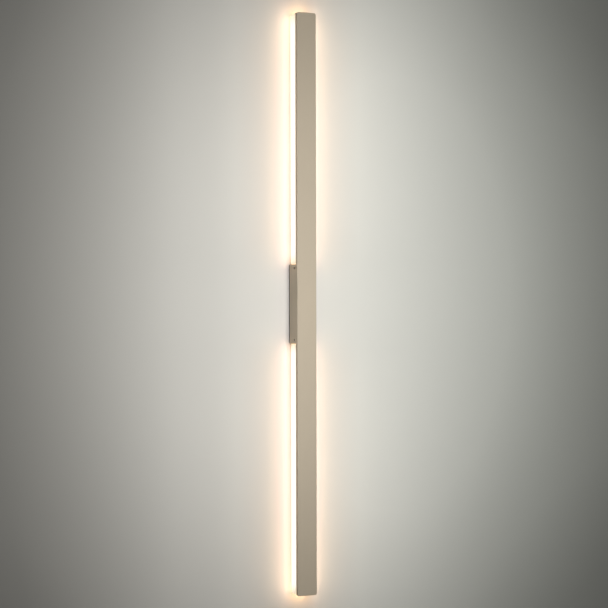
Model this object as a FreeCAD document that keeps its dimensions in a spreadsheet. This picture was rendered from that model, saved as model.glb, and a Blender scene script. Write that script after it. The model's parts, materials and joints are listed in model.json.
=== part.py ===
import FreeCAD, Part
import math
import os
import re
import Sketcher

# Slim vertical wall light. A long metal bar stands off the wall on a short box, and two
# milky channels behind the bar throw light sideways onto the wall.
#
# Frame: millimetres, Z up, X to the right as seen from the room. The wall is the plane
# Y = 0 and the bar's face looks along -Y, so a distance out from the wall is -Y. The
# origin is the middle of the mount's back face.

SIZES = [
    # the front bar
    ("bar_length", 1000, "bar, end to end"),
    ("bar_width", 37, "bar, side to side"),
    ("bar_depth", 6.5, "bar, from its open back to its face"),
    ("bar_wall", 1.5, "sheet of the bar"),
    ("bar_corner", 3.5, "rounding of the bar's four corners"),
    ("bar_edge", 0.6, "rounding around the bar's face"),
    # the mount
    ("pad_thick", 1.5, "pad between the wall and the bracket"),
    ("plate_thick", 2, "plate of the wall bracket"),
    ("plate_inset", 0.4, "plate and pad behind the housing's outline"),
    ("housing_height", 137, "housing, top to bottom"),
    ("housing_depth", 22, "housing, from the bracket's plate to the bar"),
    ("housing_wall", 1.5, "walls of the housing"),
    ("housing_inset", 0.2, "housing's sides behind the bar's sides"),
    ("housing_corner", 2.5, "rounding of the housing's upright corners"),
    ("slot_edge", 11.5, "wall slots' middles inside the housing's ends"),
    ("slot_width", 4.5, "wall slots"),
    ("slot_length", 9, "wall slots, end to end"),
    ("pad_margin", 1, "pad's holes around the plate's holes"),
    ("cable_hole", 12, "diameter of the plate's cable hole"),
    ("cable_bore", 8, "diameter of the grommet's bore"),
    ("cable_rise", 16, "cable hole above the middle"),
    ("grommet_lip", 2, "overhang of the grommet's two flanges"),
    ("grommet_flange", 1.4, "grommet's front flange"),
    ("grommet_gap", 0.1, "between the grommet and the wall"),
    ("ear_end_gap", 0.4, "between an ear and the housing's end wall"),
    ("ear_width", 10, "ears, up and down"),
    ("ear_thick", 2, "ears"),
    ("ear_gap", 0.3, "between an ear and the housing's wall"),
    ("ear_tip_gap", 0.5, "between an ear's tip and the housing's floor"),
    ("side_screw_back", 5.5, "side screws behind the housing's front"),
    ("side_screw_dia", 4, "thread of the side screws"),
    ("side_screw_length", 4.2, "side screws, end to end"),
    ("screw_clearance", 0.3, "hole diameter over the screw's diameter"),
    # the bar's fastening
    ("block_end_gap", 3.5, "threaded block's ends inside the housing's ends"),
    ("bar_screw_dia", 4, "screws through the housing into the block"),
    ("bar_screw_edge", 8.5, "bar screws inside the housing's ends"),
    ("bar_screw_end", 0.5, "bar screws' tips short of the bar's floor"),
    ("washer_thick", 0.8, "washers under the bar screws"),
    ("washer_dia", 8, "washers under the bar screws"),
    ("washer_gap", 1, "between a washer and an ear"),
    ("window_edge", 18.5, "leads' window, its middle below the housing's top"),
    ("window_width", 9.6, "leads' window"),
    ("window_height", 9.6, "leads' window"),
    ("bushing_wall", 1, "bushing that lines the window"),
    ("bushing_lip", 0.6, "overhang of the bushing's flange"),
    # the diffusers
    ("diffuser_wall", 1.2, "milky channel"),
    ("diffuser_clearance", 0.1, "channel inside the bar"),
    ("diffuser_standoff", 4.5, "channel's back face, out from the wall"),
    ("diffuser_end_gap", 0.3, "at both ends of a channel with its caps"),
    ("bead_proud", 0.3, "snap bead on the channel's sides"),
    ("bead_height", 1.2, "snap bead"),
    ("bead_rise", 2.5, "snap bead's middle above the bar's floor"),
    ("bead_clearance", 0.1, "snap bead in its groove"),
    ("cap_thick", 2.5, "channel's end caps"),
    ("cap_corner", 2.2, "rounding of a cap's upright corners"),
    ("plug_depth", 3, "plug of a cap inside the channel"),
    # the light boards
    ("tape_thick", 0.2, "heat tape under a board"),
    ("board_width", 16, "light board"),
    ("board_thick", 1.6, "light board"),
    ("board_start", 6, "board's end beyond the housing"),
    ("board_stop", 10, "board's end inside the bar's end"),
    ("led_start", 16, "first LED beyond the housing"),
    ("led_stop", 13, "no LED closer than this to the bar's end"),
    ("led_pitch", 12.5, "LED to LED"),
    ("led_width", 2.8, "LED, side to side"),
    ("led_height", 3.5, "LED, up and down"),
    ("led_thick", 0.8, "LED, off its board"),
    ("leds_per_string", 6, "LEDs that share one resistor"),
    ("resistor_offset", 5, "resistors, sideways of the LEDs"),
    ("resistor_width", 1.6, "resistor, side to side"),
    ("resistor_height", 3.2, "resistor, up and down"),
    ("resistor_thick", 0.6, "resistor, off its board"),
    ("solder_dia", 2.4, "solder joints"),
    ("solder_thick", 1.2, "solder joints"),
    # the driver
    ("driver_edge", 28.5, "driver's top below the housing's top"),
    ("driver_gap", 8, "driver's bottom above the terminal block"),
    ("driver_width", 28, "driver case, side to side"),
    ("driver_depth", 14, "driver case with its lid"),
    ("driver_wall", 1.2, "driver case and lid"),
    ("driver_corner", 1.5, "rounding of the case's upright corners"),
    ("driver_ear_width", 8, "driver's fixing ears"),
    ("driver_ear_length", 6.5, "driver's fixing ears"),
    ("driver_ear_thick", 2, "driver's fixing ears"),
    ("driver_ear_inset", 0.4, "upper ear inside the case's left side"),
    ("driver_screw_dia", 3, "screws through the driver's ears"),
    ("driver_screw_end", 0.5, "driver screws' ends short of the housing's front"),
    ("post_side", 3, "square posts under the driver's board"),
    ("post_height", 2.5, "posts under the driver's board"),
    ("circuit_thick", 1.6, "driver's board"),
    ("circuit_clearance", 0.4, "around the driver's board"),
    ("part_height", 6.5, "transformer and capacitors, off the driver's board"),
    ("core_width", 13, "transformer core, side to side"),
    ("core_height", 12, "transformer core, up and down"),
    ("core_leg", 2.2, "transformer core above and below its winding"),
    ("core_yoke", 1.4, "transformer core behind and before its winding"),
    ("winding_width", 15, "transformer winding, side to side"),
    ("winding_gap", 0.1, "winding to core"),
    ("core_rise", 31.6, "transformer's middle above the driver's bottom"),
    ("input_can_dia", 8, "larger capacitor"),
    ("output_can_dia", 6.3, "smaller capacitor"),
    ("can_side", 7, "capacitors, sideways of the middle"),
    ("input_rise", 20, "larger capacitor and choke above the driver's bottom"),
    ("output_drop", 5, "smaller capacitor below the driver's top"),
    ("choke_dia", 6.8, "choke's ring, at the middle of its winding"),
    ("choke_thick", 3.2, "choke's ring"),
    ("choke_gap", 1.3, "between the choke and the case's right side"),
    ("fuse_dia", 3.2, "fuse"),
    ("fuse_length", 7, "fuse"),
    ("fuse_side", 5.5, "fuse, right of the middle"),
    ("fuse_rise", 3.5, "fuse's lower end above the driver's bottom"),
    ("rectifier_width", 5, "rectifier, side to side"),
    ("rectifier_height", 4.5, "rectifier, up and down"),
    ("rectifier_thick", 2.5, "rectifier, off the driver's board"),
    ("rectifier_side", 1.5, "rectifier, left of the middle"),
    ("rectifier_rise", 11.5, "rectifier above the driver's bottom"),
    # the terminal block
    ("terminal_edge", 32.5, "terminal block's middle above the housing's bottom"),
    ("terminal_width", 25, "terminal block, side to side"),
    ("terminal_height", 16, "terminal block, up and down"),
    ("terminal_gap", 1, "between the terminal block's face and the leads before it"),
    ("pole_spacing", 8, "pole to pole"),
    ("pole_out", 5, "poles' middle off the plate"),
    ("clamp_side", 4.6, "square brass clamp"),
    ("clamp_length", 12, "brass clamp"),
    ("clamp_bore", 2.4, "bore of a clamp"),
    ("clamp_clearance", 0.1, "around a clamp"),
    ("clamp_screw_dia", 2.6, "clamp screws"),
    ("clamp_screw_length", 4.5, "clamp screws"),
    ("clamp_screw_spacing", 7, "between the two screws of a clamp"),
    ("terminal_screw_dia", 2.5, "screws that hold the terminal block"),
    # the earth connection
    ("earth_gap", 18, "earth screw above the terminal block"),
    ("earth_screw_dia", 4, "earth screw"),
    ("lug_dia", 8, "ring of the earth lug"),
    ("lug_thick", 0.8, "ring of the earth lug"),
    ("barrel_side", 3.2, "crimped square barrel of the earth lug"),
    ("barrel_length", 5, "barrel of the earth lug"),
    # the leads
    ("mains_lead_dia", 1.7, "live, neutral and earth leads"),
    ("light_lead_dia", 1.6, "leads to and between the boards"),
    ("lead_inside", 3, "a lead's length inside what it enters"),
    ("lead_hole_gap", 0.4, "hole diameter over the lead's diameter"),
    ("lead_room", 1.5, "between a light lead's bend and what it goes round"),
    ("lead_on_board", 5, "light leads' length on a board"),
    ("driver_lead_side", 2.2, "driver's light leads, sideways of the middle"),
    ("link_gap", 1.2, "between a link lead and what it runs beside"),
    ("link_end_side", 6.2, "link leads on the boards"),
]

doc = FreeCAD.newDocument("wall_light")
sheet = doc.addObject("Spreadsheet::Sheet", "sizes")
for row, (alias, size, meaning) in enumerate(SIZES, start=1):
    sheet.set(f"A{row}", meaning)
    sheet.set(f"B{row}", str(size))
    sheet.setAlias(f"B{row}", alias)
doc.recompute()

ALIASES = {alias for alias, size, meaning in SIZES}

# Distances out from the wall, as expressions of the sheet's sizes.
PLATE_FACE = "(pad_thick + plate_thick)"
HOUSING_FRONT = f"({PLATE_FACE} + housing_depth)"
HOUSING_FLOOR = f"({HOUSING_FRONT} - housing_wall)"
BAR_FACE = f"({HOUSING_FRONT} + bar_depth)"
BAR_FLOOR = f"({BAR_FACE} - bar_wall)"
BOARD_BACK = f"({BAR_FLOOR} - tape_thick)"
BOARD_FACE = f"({BOARD_BACK} - board_thick)"
LIGHT_LEAD_OUT = f"({BOARD_FACE} - light_lead_dia / 2)"
DRIVER_BACK = f"({HOUSING_FLOOR} - driver_depth)"
DRIVER_RIM = f"({DRIVER_BACK} + driver_wall)"
CIRCUIT_FRONT = f"({HOUSING_FLOOR} - driver_wall - post_height)"
CIRCUIT_BACK = f"({CIRCUIT_FRONT} - circuit_thick)"
MAINS_LEAD_OUT = f"({CIRCUIT_BACK} - mains_lead_dia / 2)"
TERMINAL_FACE = f"({MAINS_LEAD_OUT} - mains_lead_dia / 2 - terminal_gap)"
POLE_OUT = f"({PLATE_FACE} + pole_out)"
SIDE_SCREW_OUT = f"({HOUSING_FRONT} - side_screw_back)"

# Widths, heights and levels that several pieces share.
BAR_INNER = "(bar_width - 2 * bar_wall)"
HOUSING_WIDTH = "(bar_width - 2 * housing_inset)"
HOUSING_INNER = f"({HOUSING_WIDTH} - 2 * housing_wall)"
PLATE_WIDTH = f"({HOUSING_WIDTH} - 2 * plate_inset)"
PLATE_HEIGHT = "(housing_height - 2 * plate_inset)"
CHANNEL_WIDTH = f"({BAR_INNER} - 2 * diffuser_clearance)"
CHANNEL_INNER = f"({CHANNEL_WIDTH} - 2 * diffuser_wall)"
CHANNEL_START = "(housing_height / 2 + diffuser_end_gap + cap_thick)"
CHANNEL_STOP = "(bar_length / 2 - bar_wall - diffuser_end_gap - cap_thick)"
BOARD_START = "(housing_height / 2 + board_start)"
BOARD_STOP = "(bar_length / 2 - board_stop)"
SLOT_RISE = "(housing_height / 2 - slot_edge)"
EAR_RISE = "(housing_height / 2 - housing_wall - ear_end_gap - ear_width / 2)"
EAR_SIDE = f"({HOUSING_INNER} / 2 - ear_gap - ear_thick / 2)"
BAR_SCREW_SIDE = f"({EAR_SIDE} - ear_thick / 2 - washer_gap - washer_dia / 2)"
BAR_SCREW_RISE = "(housing_height / 2 - bar_screw_edge)"
LINK_SIDE = f"({BAR_INNER} / 2 - link_gap - light_lead_dia / 2)"
BLOCK_WIDTH = f"(2 * ({LINK_SIDE} - light_lead_dia / 2 - link_gap))"
BLOCK_HEIGHT = "(housing_height - 2 * block_end_gap)"
WINDOW_RISE = "(housing_height / 2 - window_edge)"
TERMINAL_RISE = "(terminal_edge - housing_height / 2)"
TERMINAL_TOP = f"({TERMINAL_RISE} + terminal_height / 2)"
DRIVER_TOP = "(housing_height / 2 - driver_edge)"
DRIVER_BOTTOM = f"({TERMINAL_TOP} + driver_gap)"
DRIVER_LENGTH = f"({DRIVER_TOP} - {DRIVER_BOTTOM})"
DRIVER_RISE = f"(({DRIVER_TOP} + {DRIVER_BOTTOM}) / 2)"
EARTH_RISE = f"({TERMINAL_TOP} + earth_gap)"
LUG_TOP = f"({EARTH_RISE} - lug_dia / 2 + lug_thick / 2)"
LIGHT_LEAD_END = f"({BOARD_START} + lead_on_board)"

# A screw's head and its socket or slit, as shares of the thread's diameter.
HEAD_WIDTH = 1.75
HEAD_HEIGHT = 0.6
SOCKET_WIDTH = 0.7
SOCKET_DEPTH = 0.25
SLIT_WIDTH = 0.25
SLIT_DEPTH = 0.3

# Lengths in millimetres or angles in radians this near to each other count as the same.
CLOSE = 0.01

ACROSS = FreeCAD.Vector(1, 0, 0)
TO_ROOM = FreeCAD.Vector(0, -1, 0)
UP = FreeCAD.Vector(0, 0, 1)

pieces = []


def cells(text):
    """The expression with each size's name led by the sheet's name."""
    return re.sub(r"[a-z_]+", lambda word: f"sizes.{word[0]}" if word[0] in ALIASES else word[0], text)


def number(text):
    """The expression's value now."""
    return float(sheet.evalExpression(cells(text)))


def bind(target, **properties):
    for name, text in properties.items():
        target.setExpression(name, cells(text))


def place(target, across, out, rise):
    """Tie a placement to a point: across, out from the wall and up."""
    target.setExpression("Placement.Base.x", cells(across))
    target.setExpression("Placement.Base.y", cells(f"-({out})"))
    target.setExpression("Placement.Base.z", cells(rise))


def piece(target, name):
    """Count an object as one of the light's pieces, under its own name."""
    target.Label = name
    pieces.append(target)
    return target


# ---------------------------------------------------------------- simple solids


def block(name, width, height, near, far, across="0", rise="0"):
    """Box of a width and height about a point, from one distance out to another."""
    target = doc.addObject("Part::Box", name)
    bind(target, Length=width, Width=f"({far}) - ({near})", Height=height)
    place(target, f"({across}) - ({width}) / 2", far, f"({rise}) - ({height}) / 2")
    return target


def rod_out(name, dia, near, far, across="0", rise="0"):
    """Round rod that runs out from the wall."""
    target = doc.addObject("Part::Cylinder", name)
    target.Placement = FreeCAD.Placement(FreeCAD.Vector(), FreeCAD.Rotation(ACROSS, 90))
    bind(target, Radius=f"({dia}) / 2", Height=f"({far}) - ({near})")
    place(target, across, near, rise)
    return target


def rod_up(name, dia, length, across, out, rise):
    """Round rod that runs up from a point."""
    target = doc.addObject("Part::Cylinder", name)
    bind(target, Radius=f"({dia}) / 2", Height=length)
    place(target, across, out, rise)
    return target


def rod_across(name, dia, length, across, out, rise):
    """Round rod that runs to the right from a point."""
    target = doc.addObject("Part::Cylinder", name)
    target.Placement = FreeCAD.Placement(FreeCAD.Vector(), FreeCAD.Rotation(FreeCAD.Vector(0, 1, 0), 90))
    bind(target, Radius=f"({dia}) / 2", Height=length)
    place(target, across, out, rise)
    return target


def hexagon_out(name, corner_dia, near, far, across="0", rise="0"):
    """Six-sided bar that runs out from the wall."""
    target = doc.addObject("Part::Prism", name)
    target.Polygon = 6
    target.Placement = FreeCAD.Placement(FreeCAD.Vector(), FreeCAD.Rotation(ACROSS, 90))
    bind(target, Circumradius=f"({corner_dia}) / 2", Height=f"({far}) - ({near})")
    place(target, across, near, rise)
    return target


def join(name, *solids):
    target = doc.addObject("Part::MultiFuse", name)
    target.Shapes = list(solids)
    return target


def cut(name, base, *tools):
    target = doc.addObject("Part::Cut", name)
    target.Base = base
    target.Tool = tools[0] if len(tools) == 1 else join(f"{name}_tools", *tools)
    return target


def group(name, *solids):
    """Several separate solids that are one piece of the list."""
    target = doc.addObject("Part::Compound", name)
    target.Links = list(solids)
    return piece(target, name)


# ---------------------------------------------------------------- sketched solids


def new_body(name):
    return piece(doc.addObject("PartDesign::Body", name), name)


def sketch_on(body, role, level="0"):
    """Sketch on one of the body's own planes, moved along the plane's normal."""
    sketch = body.newObject("Sketcher::SketchObject", f"{body.Name}_sketch")
    plane = next(part for part in body.Origin.OriginFeatures if part.Role == role)
    sketch.AttachmentSupport = (plane, [""])
    sketch.MapMode = "FlatFace"
    sketch.setExpression("AttachmentOffset.Base.z", cells(level))
    return sketch


def tie(sketch, kind, *elements, size):
    """Add a sized constraint and bind it to an expression."""
    index = sketch.addConstraint(Sketcher.Constraint(kind, *elements, number(size)))
    sketch.setExpression(f"Constraints[{index}]", cells(size))


def draw_rectangle(sketch, width, height, x="0", y="0"):
    """Closed rectangle about a point of the sketch."""
    half_width = number(width) / 2
    half_height = number(height) / 2
    middle = FreeCAD.Vector(number(x), number(y))
    signs = [(-1, -1), (1, -1), (1, 1), (-1, 1)]
    corners = [middle + FreeCAD.Vector(a * half_width, b * half_height) for a, b in signs]
    ends = corners[1:] + corners[:1]
    first = sketch.addGeometry([Part.LineSegment(a, b) for a, b in zip(corners, ends)], False)[0]
    for side in range(4):
        following = first + (side + 1) % 4
        sketch.addConstraint(Sketcher.Constraint("Coincident", first + side, 2, following, 1))
    for side, direction in enumerate(("Horizontal", "Vertical", "Horizontal", "Vertical")):
        sketch.addConstraint(Sketcher.Constraint(direction, first + side))
    tie(sketch, "DistanceX", first, 1, first, 2, size=width)
    tie(sketch, "DistanceY", first + 1, 1, first + 1, 2, size=height)
    tie(sketch, "DistanceX", -1, 1, first, 1, size=f"({x}) - ({width}) / 2")
    tie(sketch, "DistanceY", -1, 1, first, 1, size=f"({y}) - ({height}) / 2")


def draw_circle(sketch, dia, x="0", y="0"):
    """Circle about a point of the sketch."""
    middle = FreeCAD.Vector(number(x), number(y))
    circle = sketch.addGeometry(Part.Circle(middle, UP, number(dia) / 2), False)
    tie(sketch, "Radius", circle, size=f"({dia}) / 2")
    tie(sketch, "DistanceX", -1, 1, circle, 3, size=x)
    tie(sketch, "DistanceY", -1, 1, circle, 3, size=y)


def draw_slot(sketch, width, length, y):
    """Upright round-ended slot on the sketch's middle line."""
    radius = number(width) / 2
    reach = (number(length) - number(width)) / 2
    low = FreeCAD.Vector(0, number(y) - reach)
    high = FreeCAD.Vector(0, number(y) + reach)
    side = FreeCAD.Vector(radius, 0)
    bottom_circle = Part.Circle(low, UP, radius)
    top_circle = Part.Circle(high, UP, radius)
    outline = [
        Part.ArcOfCircle(bottom_circle, math.pi, 2 * math.pi),
        Part.LineSegment(low + side, high + side),
        Part.ArcOfCircle(top_circle, 0, math.pi),
        Part.LineSegment(high - side, low - side),
    ]
    bottom, right, top, left = sketch.addGeometry(outline, False)
    sketch.addConstraint(Sketcher.Constraint("Tangent", bottom, 2, right, 1))
    sketch.addConstraint(Sketcher.Constraint("Tangent", right, 2, top, 1))
    sketch.addConstraint(Sketcher.Constraint("Tangent", top, 2, left, 1))
    sketch.addConstraint(Sketcher.Constraint("Tangent", left, 2, bottom, 1))
    tie(sketch, "Radius", bottom, size=f"({width}) / 2")
    tie(sketch, "DistanceX", -1, 1, bottom, 3, size="0")
    tie(sketch, "DistanceX", -1, 1, top, 3, size="0")
    tie(sketch, "DistanceY", -1, 1, bottom, 3, size=f"({y}) - (({length}) - ({width})) / 2")
    tie(sketch, "DistanceY", bottom, 3, top, 3, size=f"({length}) - ({width})")


def pad(body, sketch, length, backwards=False):
    feature = body.newObject("PartDesign::Pad", f"{body.Name}_pad")
    feature.Profile = sketch
    feature.Reversed = backwards
    bind(feature, Length=length)
    doc.recompute()
    return feature


def pocket(body, sketch, length, both_ways=False, backwards=False):
    """Remove a sketch's outline along the sketch's normal, and see that material went."""
    before = body.Shape.Volume
    feature = body.newObject("PartDesign::Pocket", f"{body.Name}_pocket")
    feature.Profile = sketch
    feature.Midplane = both_ways
    feature.Reversed = backwards
    bind(feature, Length=length)
    doc.recompute()
    if not body.Shape.Volume < before:
        raise RuntimeError(f"{feature.Name} removes nothing")
    return feature


def fillet(body, feature, names, radius):
    rounding = body.newObject("PartDesign::Fillet", f"{body.Name}_fillet")
    rounding.Base = (feature, names)
    bind(rounding, Radius=radius)
    doc.recompute()
    return rounding


def edges_along(feature, direction, keep=lambda edge: True):
    """Names of the straight edges that run along a direction."""
    found = []
    for index, edge in enumerate(feature.Shape.Edges, start=1):
        straight = isinstance(edge.Curve, Part.Line)
        if straight and edge.tangentAt(edge.FirstParameter).cross(direction).Length < CLOSE and keep(edge):
            found.append(f"Edge{index}")
    return found


def farthest_face(feature, direction):
    """Name of the flat face that lies farthest along a direction and faces that way."""
    best = None
    for index, face in enumerate(feature.Shape.Faces, start=1):
        if isinstance(face.Surface, Part.Plane) and face.normalAt(0, 0).getAngle(direction) < CLOSE:
            reach = face.CenterOfMass.dot(direction)
            if best is None or reach > best[0]:
                best = (reach, f"Face{index}")
    return best[1]


def hollow(body, feature, open_side, wall):
    """Leave a wall all round and open the side that faces one way."""
    shell = body.newObject("PartDesign::Thickness", f"{body.Name}_shell")
    shell.Base = (feature, [farthest_face(feature, open_side)])
    shell.Reversed = True
    bind(shell, Value=wall)
    doc.recompute()
    return shell


def rounded_plate(body, width, height, near, thick, corner):
    """Upright plate with rounded corners, from one distance out."""
    sketch = sketch_on(body, "XZ_Plane", near)
    draw_rectangle(sketch, width, height)
    plate = pad(body, sketch, thick)
    return fillet(body, plate, edges_along(plate, TO_ROOM), corner)


# ---------------------------------------------------------------- the outer shells


def front_bar():
    """Tray with its open side to the wall and a groove along each side for the channels."""
    body = new_body("front_bar")
    solid = rounded_plate(body, "bar_width", "bar_length", HOUSING_FRONT, "bar_depth", "bar_corner")
    shell = hollow(body, solid, -TO_ROOM, "bar_wall")
    groove = sketch_on(body, "XY_Plane")
    groove_width = f"{BAR_INNER} + 2 * (bead_proud + bead_clearance) - 2 * diffuser_clearance"
    draw_rectangle(groove, groove_width, "bead_height + 2 * bead_clearance", y=f"-({BAR_FLOOR} - bead_rise)")
    grooved = pocket(body, groove, "bar_length - 2 * bar_wall - 2 * cap_thick", both_ways=True)
    fillet(body, grooved, [farthest_face(grooved, TO_ROOM)], "bar_edge")


def mount_housing():
    """Box with its open side to the wall, and holes for the screws and the leads."""
    body = new_body("mount_housing")
    solid = rounded_plate(body, HOUSING_WIDTH, "housing_height", PLATE_FACE, "housing_depth",
                          "housing_corner")
    hollow(body, solid, -TO_ROOM, "housing_wall")
    floor_holes = sketch_on(body, "XZ_Plane", HOUSING_FLOOR)
    draw_rectangle(floor_holes, "window_width", "window_height", y=WINDOW_RISE)
    for across in (f"-{BAR_SCREW_SIDE}", BAR_SCREW_SIDE):
        for rise in (f"-{BAR_SCREW_RISE}", BAR_SCREW_RISE):
            draw_circle(floor_holes, "bar_screw_dia + screw_clearance", across, rise)
    for across, rise in driver_ears():
        draw_circle(floor_holes, "driver_screw_dia", across, rise)
    pocket(body, floor_holes, "housing_wall", backwards=True)
    side_holes = sketch_on(body, "YZ_Plane")
    for rise in (f"-{EAR_RISE}", EAR_RISE):
        draw_circle(side_holes, "side_screw_dia + screw_clearance", f"-{SIDE_SCREW_OUT}", rise)
    pocket(body, side_holes, "bar_width", both_ways=True)


def wall_bracket():
    """Plate with two slots, a cable hole, tapped holes and four ears that hold the housing."""
    body = new_body("wall_bracket")
    rounded_plate(body, PLATE_WIDTH, PLATE_HEIGHT, "pad_thick", "plate_thick", "housing_corner")
    ears = sketch_on(body, "XZ_Plane", PLATE_FACE)
    for across in (f"-{EAR_SIDE}", EAR_SIDE):
        for rise in (f"-{EAR_RISE}", EAR_RISE):
            draw_rectangle(ears, "ear_thick", "ear_width", across, rise)
    pad(body, ears, f"{HOUSING_FLOOR} - {PLATE_FACE} - ear_tip_gap")
    ear_holes = sketch_on(body, "YZ_Plane")
    for rise in (f"-{EAR_RISE}", EAR_RISE):
        draw_circle(ear_holes, "side_screw_dia", f"-{SIDE_SCREW_OUT}", rise)
    pocket(body, ear_holes, "bar_width", both_ways=True)
    plate_holes = sketch_on(body, "XZ_Plane", "pad_thick")
    for rise in (f"-{SLOT_RISE}", SLOT_RISE):
        draw_slot(plate_holes, "slot_width", "slot_length", rise)
    draw_circle(plate_holes, "cable_hole", y="cable_rise")
    draw_circle(plate_holes, "earth_screw_dia", "pole_spacing", EARTH_RISE)
    for across in ("-pole_spacing / 2", "pole_spacing / 2"):
        draw_circle(plate_holes, "terminal_screw_dia", across, TERMINAL_RISE)
    pocket(body, plate_holes, "plate_thick", backwards=True)


def wall_pad():
    """Soft pad behind the bracket, with its holes a little larger."""
    body = new_body("wall_pad")
    rounded_plate(body, PLATE_WIDTH, PLATE_HEIGHT, "0", "pad_thick", "housing_corner")
    holes = sketch_on(body, "XZ_Plane")
    for rise in (f"-{SLOT_RISE}", SLOT_RISE):
        draw_slot(holes, "slot_width + 2 * pad_margin", "slot_length + 2 * pad_margin", rise)
    draw_circle(holes, "cable_hole + 2 * grommet_lip + 2 * pad_margin", y="cable_rise")
    pocket(body, holes, "pad_thick", backwards=True)


# ---------------------------------------------------------------- what joins the shells


def bar_block():
    """Threaded block inside the bar, with a channel at its top for the leads."""
    body = new_body("mount_block")
    outline = sketch_on(body, "XZ_Plane", HOUSING_FRONT)
    draw_rectangle(outline, BLOCK_WIDTH, BLOCK_HEIGHT)
    pad(body, outline, "bar_depth - bar_wall")
    holes = sketch_on(body, "XZ_Plane", HOUSING_FRONT)
    for across in (f"-{BAR_SCREW_SIDE}", BAR_SCREW_SIDE):
        for rise in (f"-{BAR_SCREW_RISE}", BAR_SCREW_RISE):
            draw_circle(holes, "bar_screw_dia", across, rise)
    pocket(body, holes, "bar_depth - bar_wall", backwards=True)
    channel_bottom = f"({WINDOW_RISE} - window_height / 2)"
    channel_height = f"({BLOCK_HEIGHT} / 2 - {channel_bottom})"
    channel = sketch_on(body, "XZ_Plane", HOUSING_FRONT)
    draw_rectangle(channel, "window_width", channel_height, y=f"{channel_bottom} + {channel_height} / 2")
    pocket(body, channel, "bar_depth - bar_wall", backwards=True)


def socket_screw(name, dia, tip, seat, across, rise):
    """Screw with a six-sided socket, its tip towards the room and its head at the seat."""
    head_back = f"({seat} - {HEAD_HEIGHT} * {dia})"
    shank = rod_out(f"{name}_shank", dia, seat, tip, across, rise)
    head = rod_out(f"{name}_head", f"{HEAD_WIDTH} * {dia}", head_back, seat, across, rise)
    socket = hexagon_out(f"{name}_socket", f"{SOCKET_WIDTH} * {dia}", head_back,
                         f"{head_back} + {SOCKET_DEPTH} * {dia}", across, rise)
    return cut(name, join(f"{name}_blank", shank, head), socket)


def bar_fasteners():
    """Four screws and washers that pull the bar's block against the housing's floor."""
    screws = []
    washers = []
    seat = f"({HOUSING_FLOOR} - washer_thick)"
    for side, across in (("left", f"-{BAR_SCREW_SIDE}"), ("right", BAR_SCREW_SIDE)):
        for level, rise in (("lower", f"-{BAR_SCREW_RISE}"), ("upper", BAR_SCREW_RISE)):
            name = f"bar_screw_{level}_{side}"
            tip = f"{BAR_FLOOR} - bar_screw_end"
            screws.append(socket_screw(name, "bar_screw_dia", tip, seat, across, rise))
            disc = rod_out(f"{name}_disc", "washer_dia", seat, HOUSING_FLOOR, across, rise)
            hole = rod_out(f"{name}_hole", "bar_screw_dia + screw_clearance", seat, HOUSING_FLOOR,
                           across, rise)
            washers.append(cut(f"{name}_washer", disc, hole))
    group("bar_screws", *screws)
    group("bar_screw_washers", *washers)


def side_screws():
    """Headless screws through the housing's sides into the bracket's ears."""
    screws = []
    outer_side = f"({HOUSING_WIDTH} / 2 - screw_clearance)"
    socket_depth = "side_screw_length / 3"
    for side, sign in (("left", -1), ("right", 1)):
        start = f"-{outer_side}" if sign < 0 else f"{outer_side} - side_screw_length"
        socket_start = f"-{outer_side}" if sign < 0 else f"{outer_side} - {socket_depth}"
        for level, rise in (("lower", f"-{EAR_RISE}"), ("upper", EAR_RISE)):
            name = f"side_screw_{level}_{side}"
            shank = rod_across(f"{name}_shank", "side_screw_dia", "side_screw_length",
                               start, SIDE_SCREW_OUT, rise)
            socket = rod_across(f"{name}_socket", "side_screw_dia / 2", socket_depth,
                                socket_start, SIDE_SCREW_OUT, rise)
            screws.append(cut(name, shank, socket))
    group("side_screws", *screws)


def cable_grommet():
    """Rubber ring with a groove that holds the plate's cable hole."""
    back = "grommet_gap"
    front = f"({PLATE_FACE} + grommet_flange)"
    flange_dia = "cable_hole + 2 * grommet_lip"
    back_flange = rod_out("grommet_back", flange_dia, back, "pad_thick", rise="cable_rise")
    neck = rod_out("grommet_neck", "cable_hole", "pad_thick", PLATE_FACE, rise="cable_rise")
    front_flange = rod_out("grommet_front", flange_dia, PLATE_FACE, front, rise="cable_rise")
    bore = rod_out("grommet_bore", "cable_bore", back, front, rise="cable_rise")
    ring = join("grommet_ring", back_flange, neck, front_flange)
    piece(cut("cable_grommet_cut", ring, bore), "cable_grommet")


def lead_bushing():
    """Plastic lining of the leads' window, with a flange inside the housing."""
    back = f"({HOUSING_FLOOR} - bushing_wall)"
    sleeve = block("bushing_sleeve", "window_width", "window_height", HOUSING_FLOOR, HOUSING_FRONT,
                   rise=WINDOW_RISE)
    flange = block("bushing_flange", "window_width + 2 * bushing_lip", "window_height + 2 * bushing_lip",
                   back, HOUSING_FLOOR, rise=WINDOW_RISE)
    opening = block("bushing_opening", "window_width - 2 * bushing_wall", "window_height - 2 * bushing_wall",
                    back, HOUSING_FRONT, rise=WINDOW_RISE)
    piece(cut("lead_bushing_cut", join("bushing_blank", sleeve, flange), opening), "lead_bushing")


# ---------------------------------------------------------------- the light sections


def section_middle(start, stop, upper):
    middle = f"(({start}) + ({stop})) / 2"
    return middle if upper else f"-({middle})"


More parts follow.
